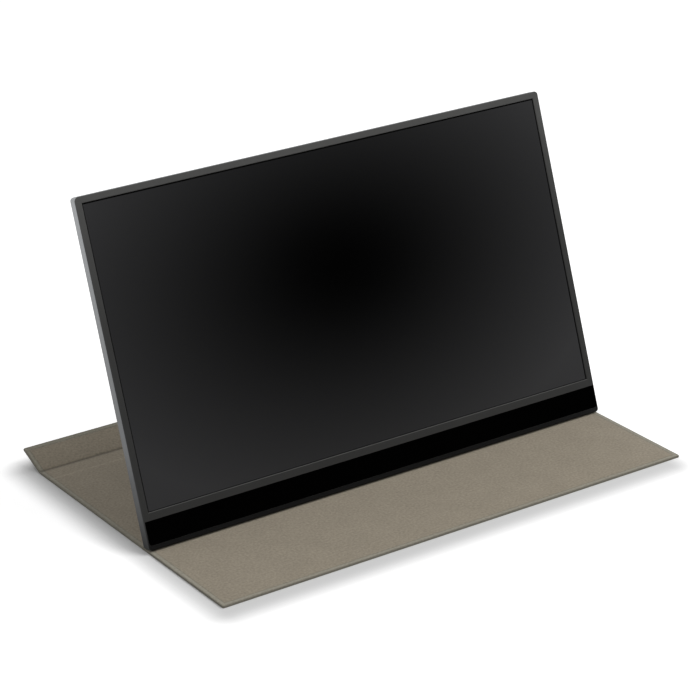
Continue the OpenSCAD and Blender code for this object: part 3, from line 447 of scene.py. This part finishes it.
@dataclass(frozen=True)
class WovenLining:
    """Woven microfibre, with an ironed hem that is a little greener.

    One attribute carries painted light: a painted highlight on the spine crease's ridge, and painted shade in
    the groove, in the flap's crease and along the rim. Each of these pairs is a value of the attribute and the
    factor there.
    """

    name: str
    colour: Triple
    hem: Triple
    thread: float = 0.5 * MM
    thread_depth: float = 0.05 * MM
    fuzz: float = 1.6 * MM
    fuzz_depth: float = 0.08 * MM
    fuzz_spread: float = 0.18
    cloud: float = 18 * MM
    cloud_spread: float = 0.04
    ridge_highlight: tuple[float, float] = (-0.3, 1.12)
    press_and_shade: tuple[float, float] = (1.0, 0.62)

    def build(self) -> bpy.types.Material:
        """Builds the material, which reads the piece's flat map and its two attributes."""
        graph = Coating(self.name)
        flat = graph.read(Reads.FLAT)
        wave = {"Vector": flat, "Scale": WAVE_SPAN / self.thread, "Distortion": 0.6, "Detail": 1.0}
        across, along = (graph.add("TexWave", wave, bands_direction=way).outputs["Fac"] for way in ("X", "Y"))
        fuzz = graph.noise(flat, self.fuzz, 5.0)
        hem, press_and_shade = (graph.add("Attribute", attribute_name=name).outputs["Fac"]
                        for name in ("hem", "press_and_shade"))
        # Painted shading: a painted highlight where the attribute is negative, painted shade where it's
        # positive
        (high_at, high), (low_at, low) = self.ridge_highlight, self.press_and_shade
        painted_shading = graph.remap(press_and_shade, high_at, low_at, high, low)
        varied = graph.calculate("MULTIPLY", graph.vary(fuzz, self.fuzz_spread),
                                 graph.vary(graph.noise(flat, self.cloud), self.cloud_spread))
        light = graph.add("HueSaturation", {"Color": graph.blend(hem, self.colour, self.hem),
                                            "Value": graph.calculate("MULTIPLY", varied, painted_shading)})
        graph.surface(Base_Color=light.outputs["Color"], Roughness=0.92, Specular_IOR_Level=0.15)
        graph.surface(Sheen_Weight=0.15, Sheen_Roughness=0.6)
        graph.bump(graph.calculate("MULTIPLY", across, along), self.thread_depth, 0.8)
        graph.bump(fuzz, self.fuzz_depth, 0.6)
        return graph.material


@dataclass(frozen=True)
class GrainedSkin:
    """Coated cloth with a leather grain."""

    name: str
    colour: Triple
    pebble: float = 1.1 * MM
    pebble_depth: float = 0.09 * MM
    grain: float = 0.3 * MM
    grain_depth: float = 0.02 * MM

    def build(self) -> bpy.types.Material:
        """Builds the material, which reads the piece's flat map."""
        graph = Coating(self.name)
        flat = graph.read(Reads.FLAT)
        cells = graph.add("TexVoronoi", {"Vector": flat, "Scale": 1 / self.pebble, "Randomness": 0.9},
                          feature="DISTANCE_TO_EDGE").outputs["Distance"]
        pebbles = graph.remap(cells, end=0.3, smooth=True)
        tone = graph.ramp(pebbles, (0.0, shade(self.colour, 0.82)), (0.8, shade(self.colour, 1.05)))
        graph.surface(Base_Color=tone, Roughness=0.58, Specular_IOR_Level=0.35)
        graph.bump(pebbles, self.pebble_depth, 0.8)
        graph.bump(graph.noise(flat, self.grain), self.grain_depth, 0.6)
        return graph.material


@dataclass(frozen=True)
class CircuitBoard:
    """Green solder mask over copper tracks."""

    name: str
    tracks: float = 220.0
    track_width: float = 0.03
    grain: float = 0.8 * MM
    grain_depth: float = 0.02 * MM

    def build(self) -> bpy.types.Material:
        """Builds the material."""
        graph = Coating(self.name)
        cells = graph.add("TexBrick", {"Vector": graph.read(), "Scale": self.tracks,
                                       "Color1": (0.01, 0.09, 0.04, 1), "Color2": (0.02, 0.13, 0.06, 1),
                                       "Mortar": (0.03, 0.2, 0.09, 1), "Mortar Size": self.track_width})
        graph.surface(Base_Color=cells.outputs["Color"], Roughness=0.35)
        graph.bump(graph.noise(graph.read(), self.grain), self.grain_depth)
        return graph.material


# ---------------------------------------------------------------- mesh helpers


class Sheet:
    """A flat slab of the cover, modelled before it's bent, with z as its height above the table."""

    def __init__(self, low: Vector, high: Vector, corner: float) -> None:
        """Starts a slab with round corners.

        Args:
            low: Its lowest corner.
            high: Its highest corner.
            corner: Radius of its corners, seen from above.
        """
        self.low, self.high, self.corner = low, high, corner
        self.mesh = bmesh.new()
        bmesh.ops.create_grid(self.mesh, x_segments=1, y_segments=1, size=0.5)
        span = high - low
        middle = (low + high) / 2
        bmesh.ops.scale(self.mesh, vec=(span.x, span.y, 1), verts=self.mesh.verts[:])
        bmesh.ops.translate(self.mesh, vec=(middle.x, middle.y, high.z), verts=self.mesh.verts[:])
        bmesh.ops.bevel(self.mesh, geom=self.mesh.verts[:], offset=corner, segments=6, profile=0.5,
                        affect="VERTICES", material=-1)
        wall = bmesh.ops.extrude_face_region(self.mesh, geom=self.mesh.faces[:])["geom"]
        moved = [part for part in wall if isinstance(part, bmesh.types.BMVert)]
        bmesh.ops.translate(self.mesh, vec=(0, 0, -span.z), verts=moved)
        bmesh.ops.recalc_face_normals(self.mesh, faces=self.mesh.faces[:])

    def facing(self, up: bool) -> bmesh.types.BMFace:
        """Gives the slab's large upper or lower face."""
        sign = 1 if up else -1
        flat = [face for face in self.mesh.faces if face.normal.z * sign > 0.999]
        return max(flat, key=lambda face: face.calc_area())

    def round_rim(self, up: bool, radius: float) -> None:
        """Rounds the slab's upper or lower rim by a radius."""
        bmesh.ops.bevel(self.mesh, geom=self.facing(up).edges[:], offset=radius, segments=3, profile=0.5,
                        affect="EDGES", material=-1)

    def sink(self, width: float, depth: float, slope: float = 0.05 * MM) -> None:
        """Leaves a rim round the upper face and lowers what lies inside.

        Args:
            width: Width of the rim.
            depth: How far the inside goes down.
            slope: Width of the wall between the rim and the inside.
        """
        for inset, drop in ((width, 0.0), (slope, depth)):
            bmesh.ops.inset_region(self.mesh, faces=[self.facing(True)], thickness=inset, depth=0,
                                   use_even_offset=True)
            bmesh.ops.translate(self.mesh, vec=(0, 0, -drop), verts=self.facing(True).verts[:])

    def cut(self, places: list[float], normal: Triple) -> None:
        """Cuts the slab's faces along planes, so that it can bend and take relief there.

        Args:
            places: Distances of the planes along the normal.
            normal: The planes' unit normal.
        """
        for place in places:
            whole = self.mesh.verts[:] + self.mesh.edges[:] + self.mesh.faces[:]
            bmesh.ops.bisect_plane(self.mesh, geom=whole, dist=CUT_REACH, plane_co=Vector(normal) * place,
                                   plane_no=normal)

    def edge_distance(self, place: Vector) -> float:
        """Tells how far inside the slab's outline a place lies, seen from above."""
        middle, half = (self.low + self.high) / 2, (self.high - self.low) / 2
        over_x = abs(place.x - middle.x) - half.x + self.corner
        over_y = abs(place.y - middle.y) - half.y + self.corner
        if over_x > 0 and over_y > 0:
            return self.corner - math.hypot(over_x, over_y)
        return self.corner - max(over_x, over_y)

    def part(self, place: float, front: bool) -> bmesh.types.BMesh:
        """Gives a closed copy of what lies in front of or behind a cut.

        Args:
            place: Where the slab is cut, along y.
            front: The front part rather than the rear one.

        Returns:
            The new mesh.
        """
        mesh = self.mesh.copy()
        whole = mesh.verts[:] + mesh.edges[:] + mesh.faces[:]
        cut = bmesh.ops.bisect_plane(mesh, geom=whole, dist=CUT_REACH, plane_co=(0, place, 0),
                                     plane_no=(0, 1, 0), clear_outer=front, clear_inner=not front)["geom_cut"]
        edges = [part for part in cut if isinstance(part, bmesh.types.BMEdge)]
        for edge in edges:
            edge.smooth = False
        bmesh.ops.holes_fill(mesh, edges=edges, sides=0)
        bmesh.ops.recalc_face_normals(mesh, faces=mesh.faces[:])
        return mesh


def placed(name: str, mesh: bmesh.types.BMesh, material: bpy.types.Material) -> bpy.types.Object:
    """Turns a bmesh into an object at the origin.

    Args:
        name: The object's name.
        mesh: The bmesh, which is freed.
        material: Its material.

    Returns:
        The object.
    """
    data = bpy.data.meshes.new(name)
    mesh.to_mesh(data)
    mesh.free()
    data.materials.append(material)
    piece = bpy.data.objects.new(name, data)
    bpy.context.scene.collection.objects.link(piece)
    return piece


# ---------------------------------------------------------------- the cover


@dataclass(frozen=True)
class Crease:
    """A line across the cover where it folds, sunk into the lining or standing out of it.

    Its depth is positive where it's sunk in and negative where it stands out. Its darkness is painted shade
    where it's positive and a painted highlight where it's negative. Its shift moves both towards the back.
    """

    place: float
    depth: float
    width: float
    dark: float
    shift: float = 0.0

    def press_and_shade(self, y: float) -> float:
        """Gives the share of the crease's depth at a distance along the cover."""
        away = (y - self.place - self.shift) / self.width
        return math.exp(-away * away)


@dataclass
class FoldingCover:
    """The cover's skin and lining, which lie flat, with a flap that rises behind two creases."""

    corner: float = 1.2 * MM
    rim: float = 0.15 * MM
    rear_rim: float = 0.3 * MM
    rim_drop: float = 0.1 * MM
    skin_thickness: float = 0.4 * MM
    skin_lip: float = 0.2 * MM
    skin_round: tuple[float, float] = (0.2 * MM, 0.35 * MM)
    lining_round: float = 0.25 * MM
    # Painted shade along the lining's rim: how far outside the rim it peaks, and its width
    rim_shade_out: float = 0.1 * MM
    rim_shade_width: float = 0.8 * MM
    # The groove: where it lies, its width and depth, and its painted shade
    groove_in: float = 3.0 * MM
    groove_width: float = 0.5 * MM
    groove_depth: float = 0.15 * MM
    groove_shade: float = 0.6
    hem: float = 3.2 * MM
    hem_soft: float = 0.4 * MM
    face_reach: float = 0.01 * MM
    bend: float = 0.9 * MM
    blend_half: float = 1.5 * MM
    stride: float = 20 * MM
    edge_cuts: list[float] = field(
        default_factory=lambda: [0.4, 0.8, 1.2, 1.6, 2.2, 2.5, 2.75, 3.0, 3.25, 3.5, 4.0])
    crease_cuts: list[float] = field(
        default_factory=lambda: [-4, -2, -1.3, -0.9, -0.6, -0.3, 0, 0.3, 0.6, 0.9, 1.3, 2, 4])

    def __post_init__(self) -> None:
        """Reads the cover's sizes and creases from the frame.

        The flap's length is read from its rearmost edge, which is its lower one while it's tilted. Its
        thickness makes it come out 0.6 mm longer than the solid flap.
        """
        low, high = (Vector(corner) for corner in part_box("panel_lining"))
        joints = {joint["name"]: joint for joint in frame["joints"]}
        # The flap's crease gets painted shade, the spine's crease a painted highlight
        self.creases = (
            Crease(joints["spine_fold"]["pos_m"][1], depth=-0.1 * MM, width=0.9 * MM, dark=-0.6),
            Crease(joints["flap_fold"]["pos_m"][1], depth=0.35 * MM, width=1.1 * MM, dark=1.5,
                   shift=-0.5 * MM))
        self.rise = -math.radians(joints["flap_fold"]["range_deg"][0])
        self.top = high.z
        self.lining_low = low.z
        self.front = low.y
        self.half_width = high.x
        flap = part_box("flap_skin")
        self.back = self.creases[1].place + (flap[1][1] - self.creases[1].place) / math.cos(self.rise)
        self.middle = (self.creases[0].place + self.creases[1].place) / 2

    def _cut(self, sheet: Sheet) -> None:
        """Cuts a slab along its edges, at its creases and at even strides, so that it can take its shape."""
        edges = [step * MM for step in self.edge_cuts]
        half, strides = self.half_width, int(self.half_width / self.stride)
        across = [step * self.stride for step in range(1 - strides, strides)]
        sheet.cut([side * (half - step) for side in (-1, 1) for step in edges] + across, (1, 0, 0))
        along = [crease.place + step * MM for crease in self.creases for step in self.crease_cuts]
        count = int((self.creases[0].place - self.front) / self.stride)
        strides_along = [self.front + step * self.stride for step in range(1, count)]
        rows = [self.front + step for step in edges] + [self.back - self.rear_rim - step for step in edges]
        sheet.cut(rows + along + strides_along, (0, 1, 0))

    def _relief_and_shade(self, sheet: Sheet, place: Vector) -> tuple[float, float, float]:
        """Tells what is sunk into the lining at a place, and the shade or highlight painted there.

        Args:
            sheet: The lining's slab.
            place: A place on its upper face.

        Returns:
            How far the face lies below the top, the hem's share, and the painted shade of the place, which is
            negative where it's a painted highlight.
        """
        inside = sheet.edge_distance(place)
        groove = math.exp(-((inside - self.groove_in) / self.groove_width) ** 2)
        share = min(1.0, max(0.0, (self.hem + self.hem_soft - inside) / (2 * self.hem_soft)))
        drop = groove * self.groove_depth
        # Painted shade in the groove and along the rim; the creases add painted shade or a painted highlight
        dark = self.groove_shade * groove + math.exp(-((inside + self.rim_shade_out) / self.rim_shade_width) ** 2)
        for crease in self.creases:
            drop += crease.press_and_shade(place.y) * crease.depth
            dark += crease.press_and_shade(place.y) * crease.dark
        return drop, share, dark

    def _emboss_and_shade(self, sheet: Sheet) -> None:
        """Writes a slab's flat map, in metres, and presses the hem and grooves into a lining's upper face.

        The hem and the painted shade of a place go into two attributes that the finish reads.
        """
        flat = sheet.mesh.loops.layers.uv.new("flat")
        hem = sheet.mesh.verts.layers.float.new("hem")
        press_and_shade = sheet.mesh.verts.layers.float.new("press_and_shade")
        for face in sheet.mesh.faces:
            for loop in face.loops:
                loop[flat].uv = (loop.vert.co.x, loop.vert.co.y + loop.vert.co.z)
        for vert in sheet.mesh.verts:
            drop, vert[hem], vert[press_and_shade] = self._relief_and_shade(sheet, vert.co)
            if sheet.high.z == self.top and vert.co.z > sheet.high.z - self.face_reach:
                vert.co.z -= drop

    def _raise(self, mesh: bmesh.types.BMesh) -> None:
        """Turns the flap up at its crease, in a soft bend."""
        crease = self.creases[1].place
        hinge = Vector((0, crease, self.top))
        for vert in mesh.verts:
            share = min(1.0, max(0.0, (vert.co.y - crease + self.bend) / (2 * self.bend)))
            turn = Matrix.Rotation(self.rise * share * share * (3 - 2 * share), 3, "X")
            vert.co = hinge + turn @ (vert.co - hinge)

    def _pieces(self, sheet: Sheet, name: str, finish: Finish, nodes: list[list[str]]) -> None:
        """Splits a slab in the middle of the spine and makes both parts bend at their creases.

        Args:
            sheet: The slab.
            name: Start of the pieces' names.
            finish: Their finish.
            nodes: The nodes that each part stands for.
        """
        self._cut(sheet)
        self._emboss_and_shade(sheet)
        material = finish.build()
        for index, front in enumerate((True, False)):
            mesh = sheet.part(self.middle, front)
            self._raise(mesh)
            for face in mesh.faces:
                face.smooth = True
            piece = placed(f"{name}_{'front' if front else 'rear'}", mesh, material)
            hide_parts(*nodes[index])
            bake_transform(piece)
            log.info("%s: %d faces", piece.name, len(piece.data.polygons))
        sheet.mesh.free()

    def build_lining(self, finish: WovenLining) -> None:
        """Models the woven lining, with its pressed hem and its creases."""
        sheet = Sheet(Vector((-self.half_width + self.rim, self.front + self.rim, self.lining_low)),
                      Vector((self.half_width - self.rim, self.back - self.rear_rim, self.top)),
                      self.corner - self.rim)
        sheet.round_rim(True, self.lining_round)
        self._pieces(sheet, "lining", finish, [["panel_lining", "spine_lining"], ["flap_lining"]])

    def build_skin(self, finish: GrainedSkin) -> None:
        """Models the outer skin, which turns up round the board's edge."""
        top = self.lining_low - self.rim_drop
        sheet = Sheet(Vector((-self.half_width, self.front, 0)), Vector((self.half_width, self.back, top)),
                      self.corner)
        for up, radius in zip((True, False), self.skin_round):
            sheet.round_rim(up, radius)
        sheet.sink(self.skin_lip, top - self.skin_thickness)
        self._pieces(sheet, "skin", finish, [["panel_skin", "spine_skin"], ["flap_skin"]])

    def build(self) -> None:
        """Builds the cover's pieces."""
        self.build_skin(GrainedSkin("olive_grained_skin", srgb(118, 114, 102)))
        self.build_lining(WovenLining("taupe_lining", srgb(154, 144, 127), srgb(157, 152, 137)))


# ---------------------------------------------------------------- rigid pieces


@dataclass
class ScreenAndStand:
    """The finishes of the rigid pieces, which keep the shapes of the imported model."""

    # The film's painted reflection: dark in the middle, lighter towards the edges
    film_dark: Triple = srgb(0, 0, 0)
    film_reflection: Triple = srgb(57, 57, 58)
    film_rise: float = 20 * MM
    film_reach: tuple[float, float] = (1.25, 1.49)
    # Width of the painted shade band along the film's top and right edges
    film_shade_band: float = 0.4 * MM
    rim_width: tuple[float, float] = (1.2 * MM, 1.6 * MM)
    metal: Triple = srgb(152, 154, 156)
    # Painted shade on the frame's face, by height: nearly black along the table, lighter towards the top
    face_shade_tones: Stops = (
        (6 * MM, 0.02), (19 * MM, 0.41), (65 * MM, 0.43), (95 * MM, 0.44), (124 * MM, 0.49), (153 * MM, 0.62),
        (182 * MM, 0.78), (207 * MM, 1.16))
    # Painted shade on the metal side walls, by height: darker towards the table
    side_shade_tones: Stops = (
        (8 * MM, 0.1), (24 * MM, 0.15), (42 * MM, 0.21), (65 * MM, 0.38), (95 * MM, 0.47), (125 * MM, 0.58),
        (153 * MM, 0.71), (182 * MM, 0.89), (213 * MM, 1.05))

    def _screen_film(self) -> ScreenFilm:
        """Gives the screen's finish, whose painted reflection is darkest a little above the screen's middle."""
        low, high = (Vector(corner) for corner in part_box("front_polariser"))
        half, middle = (high - low) / 2, (low + high) / 2
        across, upward = self.film_reach
        shade_band = self.film_shade_band / 2
        return ScreenFilm("screen_film", self.film_dark, self.film_reflection,
                          centre=tuple(middle + Vector((0, 0, self.film_rise))),
                          reach=(half.x * across, EVERYWHERE, half.z * upward),
                          unshaded_middle=(middle.x - shade_band, middle.y, middle.z - shade_band),
                          unshaded_half=(half.x - shade_band, EVERYWHERE, half.z - shade_band))

    def _frame_face(self) -> RimmedMoulding:
        """Gives the front frame's finish: a dark face inside a metal rim, with painted shade and a painted
        highlight.
        """
        low, high = (Vector(corner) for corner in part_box("front_frame"))
        lean = math.atan2(high.y - low.y, high.z - low.z)
        half, middle = (high - low) / 2, (low + high) / 2
        side, end = self.rim_width
        # The lighter colour on the bevel below the window is a painted highlight
        return RimmedMoulding("frame_moulding", srgb(77, 77, 76), 0.45, gloss=0.2, shade_tones=self.face_shade_tones,
                              rim=self.metal, rim_shade_tones=self.side_shade_tones, sill_highlight=srgb(78, 78, 77),
                              facing=(0, -math.cos(lean), math.sin(lean)), middle=tuple(middle),
                              half=(half.x - side, EVERYWHERE, half.z - end))

    def build(self) -> None:
        """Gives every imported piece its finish."""
        finishes: list[tuple[Finish, list[str]]] = [
            (self._frame_face(), ["front_frame"]),
            (GlossPlastic("gloss_strip", srgb(2, 2, 2), 0.08, 0.12), ["chin_strip"]),
            (self._screen_film(), ["front_polariser"]),
            (GlossPlastic("cell_glass", srgb(8, 8, 9), 0.1, 0.2), ["lcd_glass"]),
            (MouldedPlastic("white_film", srgb(228, 228, 230), 0.4), ["optical_sheets", "reflector_sheet"]),
            (GlossPlastic("clear_guide", srgb(205, 218, 222), 0.15), ["light_guide"]),
            (SatinMetal("tray_sheet", srgb(190, 191, 193), 0.35),
             ["panel_tray", "shield_can", "grip_plates"]),
            (MouldedPlastic("lamp_packages", srgb(235, 226, 170), 0.4), ["lamp_strip"]),
            (CircuitBoard("green_board"), ["timing_board", "main_board", "side_board"]),
            (GlossPlastic("flat_cable", srgb(178, 134, 66), 0.3), ["display_ribbon", "link_cable"]),
            (SatinMetal("anodised_shell", self.metal, 0.42, self.side_shade_tones), ["rear_shell"]),
            (MouldedPlastic("housing_moulding", srgb(48, 48, 49), 0.55, 0.5 * MM, 0.02 * MM),
             ["rear_housing"]),
            (SatinMetal("black_screws", srgb(70, 70, 72), 0.35),
             ["housing_screws", "board_screws", "bracket_screws", "stand_screws"]),
            (SatinMetal("hinge_steel", srgb(150, 150, 152), 0.35),
             ["hinge_bracket_left", "hinge_bracket_right", "stand_leaf_left", "stand_leaf_right",
              "hinge_pin_left", "hinge_pin_right"]),
            (SatinMetal("brass_washers", srgb(200, 175, 110), 0.3), ["friction_washers"]),
            (SatinMetal("socket_steel", srgb(190, 190, 192), 0.25),
             ["usb_c_socket_upper", "usb_c_socket_lower", "mini_hdmi_socket", "key_switches"]),
            (MouldedPlastic("black_moulding", srgb(22, 22, 22)),
             ["audio_socket", "video_chip", "speaker_left", "speaker_right"]),
            (SatinMetal("anodised_plate", srgb(112, 114, 116), 0.42), ["stand_plate"]),
            (MouldedPlastic("pad_rubber", srgb(26, 26, 26), 0.8, 0.4 * MM, 0.02 * MM, 0.2), ["stand_pads"]),
            (MouldedPlastic("button_moulding", srgb(58, 58, 59), 0.42),
             ["power_button", "menu_up_button", "menu_down_button"]),
            (MouldedPlastic("board_fibre", srgb(150, 128, 96), 0.8),
             ["panel_board", "spine_board", "flap_board"]),
            (SatinMetal("magnet_nickel", srgb(185, 186, 188), 0.25), ["panel_magnets", "flap_magnets"]),
        ]
        for finish, names in finishes:
            material = finish.build()
            for name in names:
                node = frame["nodes"][name]
                node.data.materials.clear()
                node.data.materials.append(material)
            log.info("%s: %s", material.name, ", ".join(names))


# ---------------------------------------------------------------- the studio


@dataclass(frozen=True)
class Lamp:
    """A soft square lamp that faces the object: where it hangs, its side and its power in watts."""

    name: str
    place: Triple
    size: float
    power: float

    def build(self, aim: Vector) -> None:
        """Hangs the lamp, turned to a place."""
        data = bpy.data.lights.new(self.name, "AREA")
        data.size, data.energy = self.size, self.power
        lamp = bpy.data.objects.new(self.name, data)
        lamp.location = self.place
        lamp.rotation_euler = (aim - Vector(self.place)).to_track_quat("-Z", "Y").to_euler()
        bpy.context.scene.collection.objects.link(lamp)


@dataclass
class Studio:
    """The table, the lamps and the camera."""

    azimuth: float = -33.721
    elevation: float = 22.849
    roll: float = -1.188
    distance: float = 1.673795
    aim: Triple = (-0.026274, 0.0, 0.09968)
    focal_pixels: float = 2648.629
    picture_pixels: float = 700.0
    sensor: float = 36.0
    nearest: float = 0.05
    table_half: float = 6.0
    table_tone: float = 0.8
    table_glow: float = 0.65
    glow_start: float = 27 * MM
    glow_in_low: tuple[float, float] = (0.5 * MM, -4.5 * MM)
    glow_in_high: tuple[float, float] = (15 * MM, 15 * MM)
    sky: float = 0.38
    flag_place: Triple = (1.03, -1.69, 0.75)
    flag_aim: Triple = (0, 0, 0.1)
    flag_size: tuple[float, float] = (2.6, 1.4)
    lamp_aim: Triple = (0, 0.03, 0.08)
    lamps: list[Lamp] = field(default_factory=lambda: [
        Lamp("key", (1.0, -0.9, 1.6), 1.2, 21.5),
        Lamp("fill", (-1.0, 0.3, 1.6), 1.6, 3.8)])

    def build_camera(self) -> None:
        """Places the camera as the photograph was taken."""
        turn, climb, roll = (math.radians(value) for value in (self.azimuth, self.elevation, self.roll))
        level = math.cos(climb)
        back = Vector((math.sin(turn) * level, -math.cos(turn) * level, math.sin(climb)))
        right = Vector((math.cos(turn), math.sin(turn), 0))
        up = back.cross(right)
        axes = Matrix((math.cos(roll) * right + math.sin(roll) * up,
                       math.cos(roll) * up - math.sin(roll) * right, back)).transposed()
        data = bpy.data.cameras.new("camera")
        data.sensor_width = self.sensor
        data.lens = self.focal_pixels / self.picture_pixels * self.sensor
        data.clip_start = self.nearest
        camera = bpy.data.objects.new("camera", data)
        camera.matrix_world = Matrix.Translation(Vector(self.aim) + back * self.distance) @ axes.to_4x4()
        bpy.context.scene.collection.objects.link(camera)
        bpy.context.scene.camera = camera

    def build_table(self) -> None:
        """Makes the white table, which takes the object's shadow and glows only away from the object.

        The glow fades out near the cover's outline, so there the table shows the real shadow and a painted
        shade that follows the outline.
        """
        mesh = bmesh.new()
        bmesh.ops.create_grid(mesh, x_segments=1, y_segments=1, size=self.table_half)
        graph = Coating("table_white")
        tone = (self.table_tone, self.table_tone, self.table_tone, 1)
        graph.surface(Base_Color=tone, Roughness=0.9, Specular_IOR_Level=0.1)
        # The glow fades out round the cover's outline, which paints shade there besides the real shadow
        low = Vector(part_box("panel_skin")[0]) + Vector((*self.glow_in_low, 0))
        high = Vector(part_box("flap_skin")[1]) - Vector((*self.glow_in_high, 0))
        away = graph.vector("ABSOLUTE", graph.vector("SUBTRACT", graph.read(), (low + high) / 2))
        outside = graph.vector("MAXIMUM", graph.vector("SUBTRACT", away, (high - low) / 2), (0, 0, 0))
        share = graph.remap(graph.vector("LENGTH", outside), end=self.glow_start, smooth=True)
        strength = graph.calculate("MULTIPLY", graph.calculate("MULTIPLY", graph.looked_at(), share),
                                   self.table_glow)
        glow = graph.add("Emission", {"Color": (*WHITE, 1), "Strength": strength})
        both = graph.add("AddShader", {0: graph.shader.outputs["BSDF"], 1: glow.outputs["Emission"]})
        graph.join(both.outputs["Shader"], graph.output.inputs["Surface"])
        table = placed("table", mesh, graph.material)

    def build_world(self) -> None:
        """Sets an even pale world that the camera sees as white."""
        world = bpy.data.worlds.new("studio")
        bpy.context.scene.world = world
        world.use_nodes = True
        graph = Graph(world.node_tree)
        level = graph.remap(graph.looked_at(), low=self.sky)
        background = graph.add("Background", {"Color": (*WHITE, 1), "Strength": level})
        graph.add("OutputWorld", {"Surface": background.outputs["Background"]})

    def build_flag(self) -> None:
        """Hangs a black card where the screen's face would mirror the room, seen only in reflections."""
        place = Vector(self.flag_place)
        turn = (place - Vector(self.flag_aim)).normalized().to_track_quat("Z", "Y").to_matrix().to_4x4()
        mesh = bmesh.new()
        bmesh.ops.create_grid(mesh, x_segments=1, y_segments=1, size=0.5)
        bmesh.ops.scale(mesh, vec=(*self.flag_size, 1), verts=mesh.verts[:])
        bmesh.ops.transform(mesh, matrix=Matrix.Translation(place) @ turn, verts=mesh.verts[:])
        graph = Coating("flag_black")
        graph.surface(Base_Color=(*BLACK, 1), Roughness=1.0, Specular_IOR_Level=0.0)
        flag = placed("flag", mesh, graph.material)
        flag.visible_camera = False
        flag.visible_diffuse = False
        flag.visible_shadow = False
        flag.visible_transmission = False

    def build(self) -> None:
        """Builds the studio."""
        bpy.context.scene.view_settings.view_transform = "Standard"
        self.build_camera()
        self.build_table()
        self.build_world()
        self.build_flag()
        for lamp in self.lamps:
            lamp.build(Vector(self.lamp_aim))


def main() -> None:
    """Builds the whole scene in order."""
    logging.basicConfig(level=logging.INFO, format="%(name)s: %(message)s")
    Studio().build()
    FoldingCover().build()
    ScreenAndStand().build()


if __name__ == "__main__":
    main()
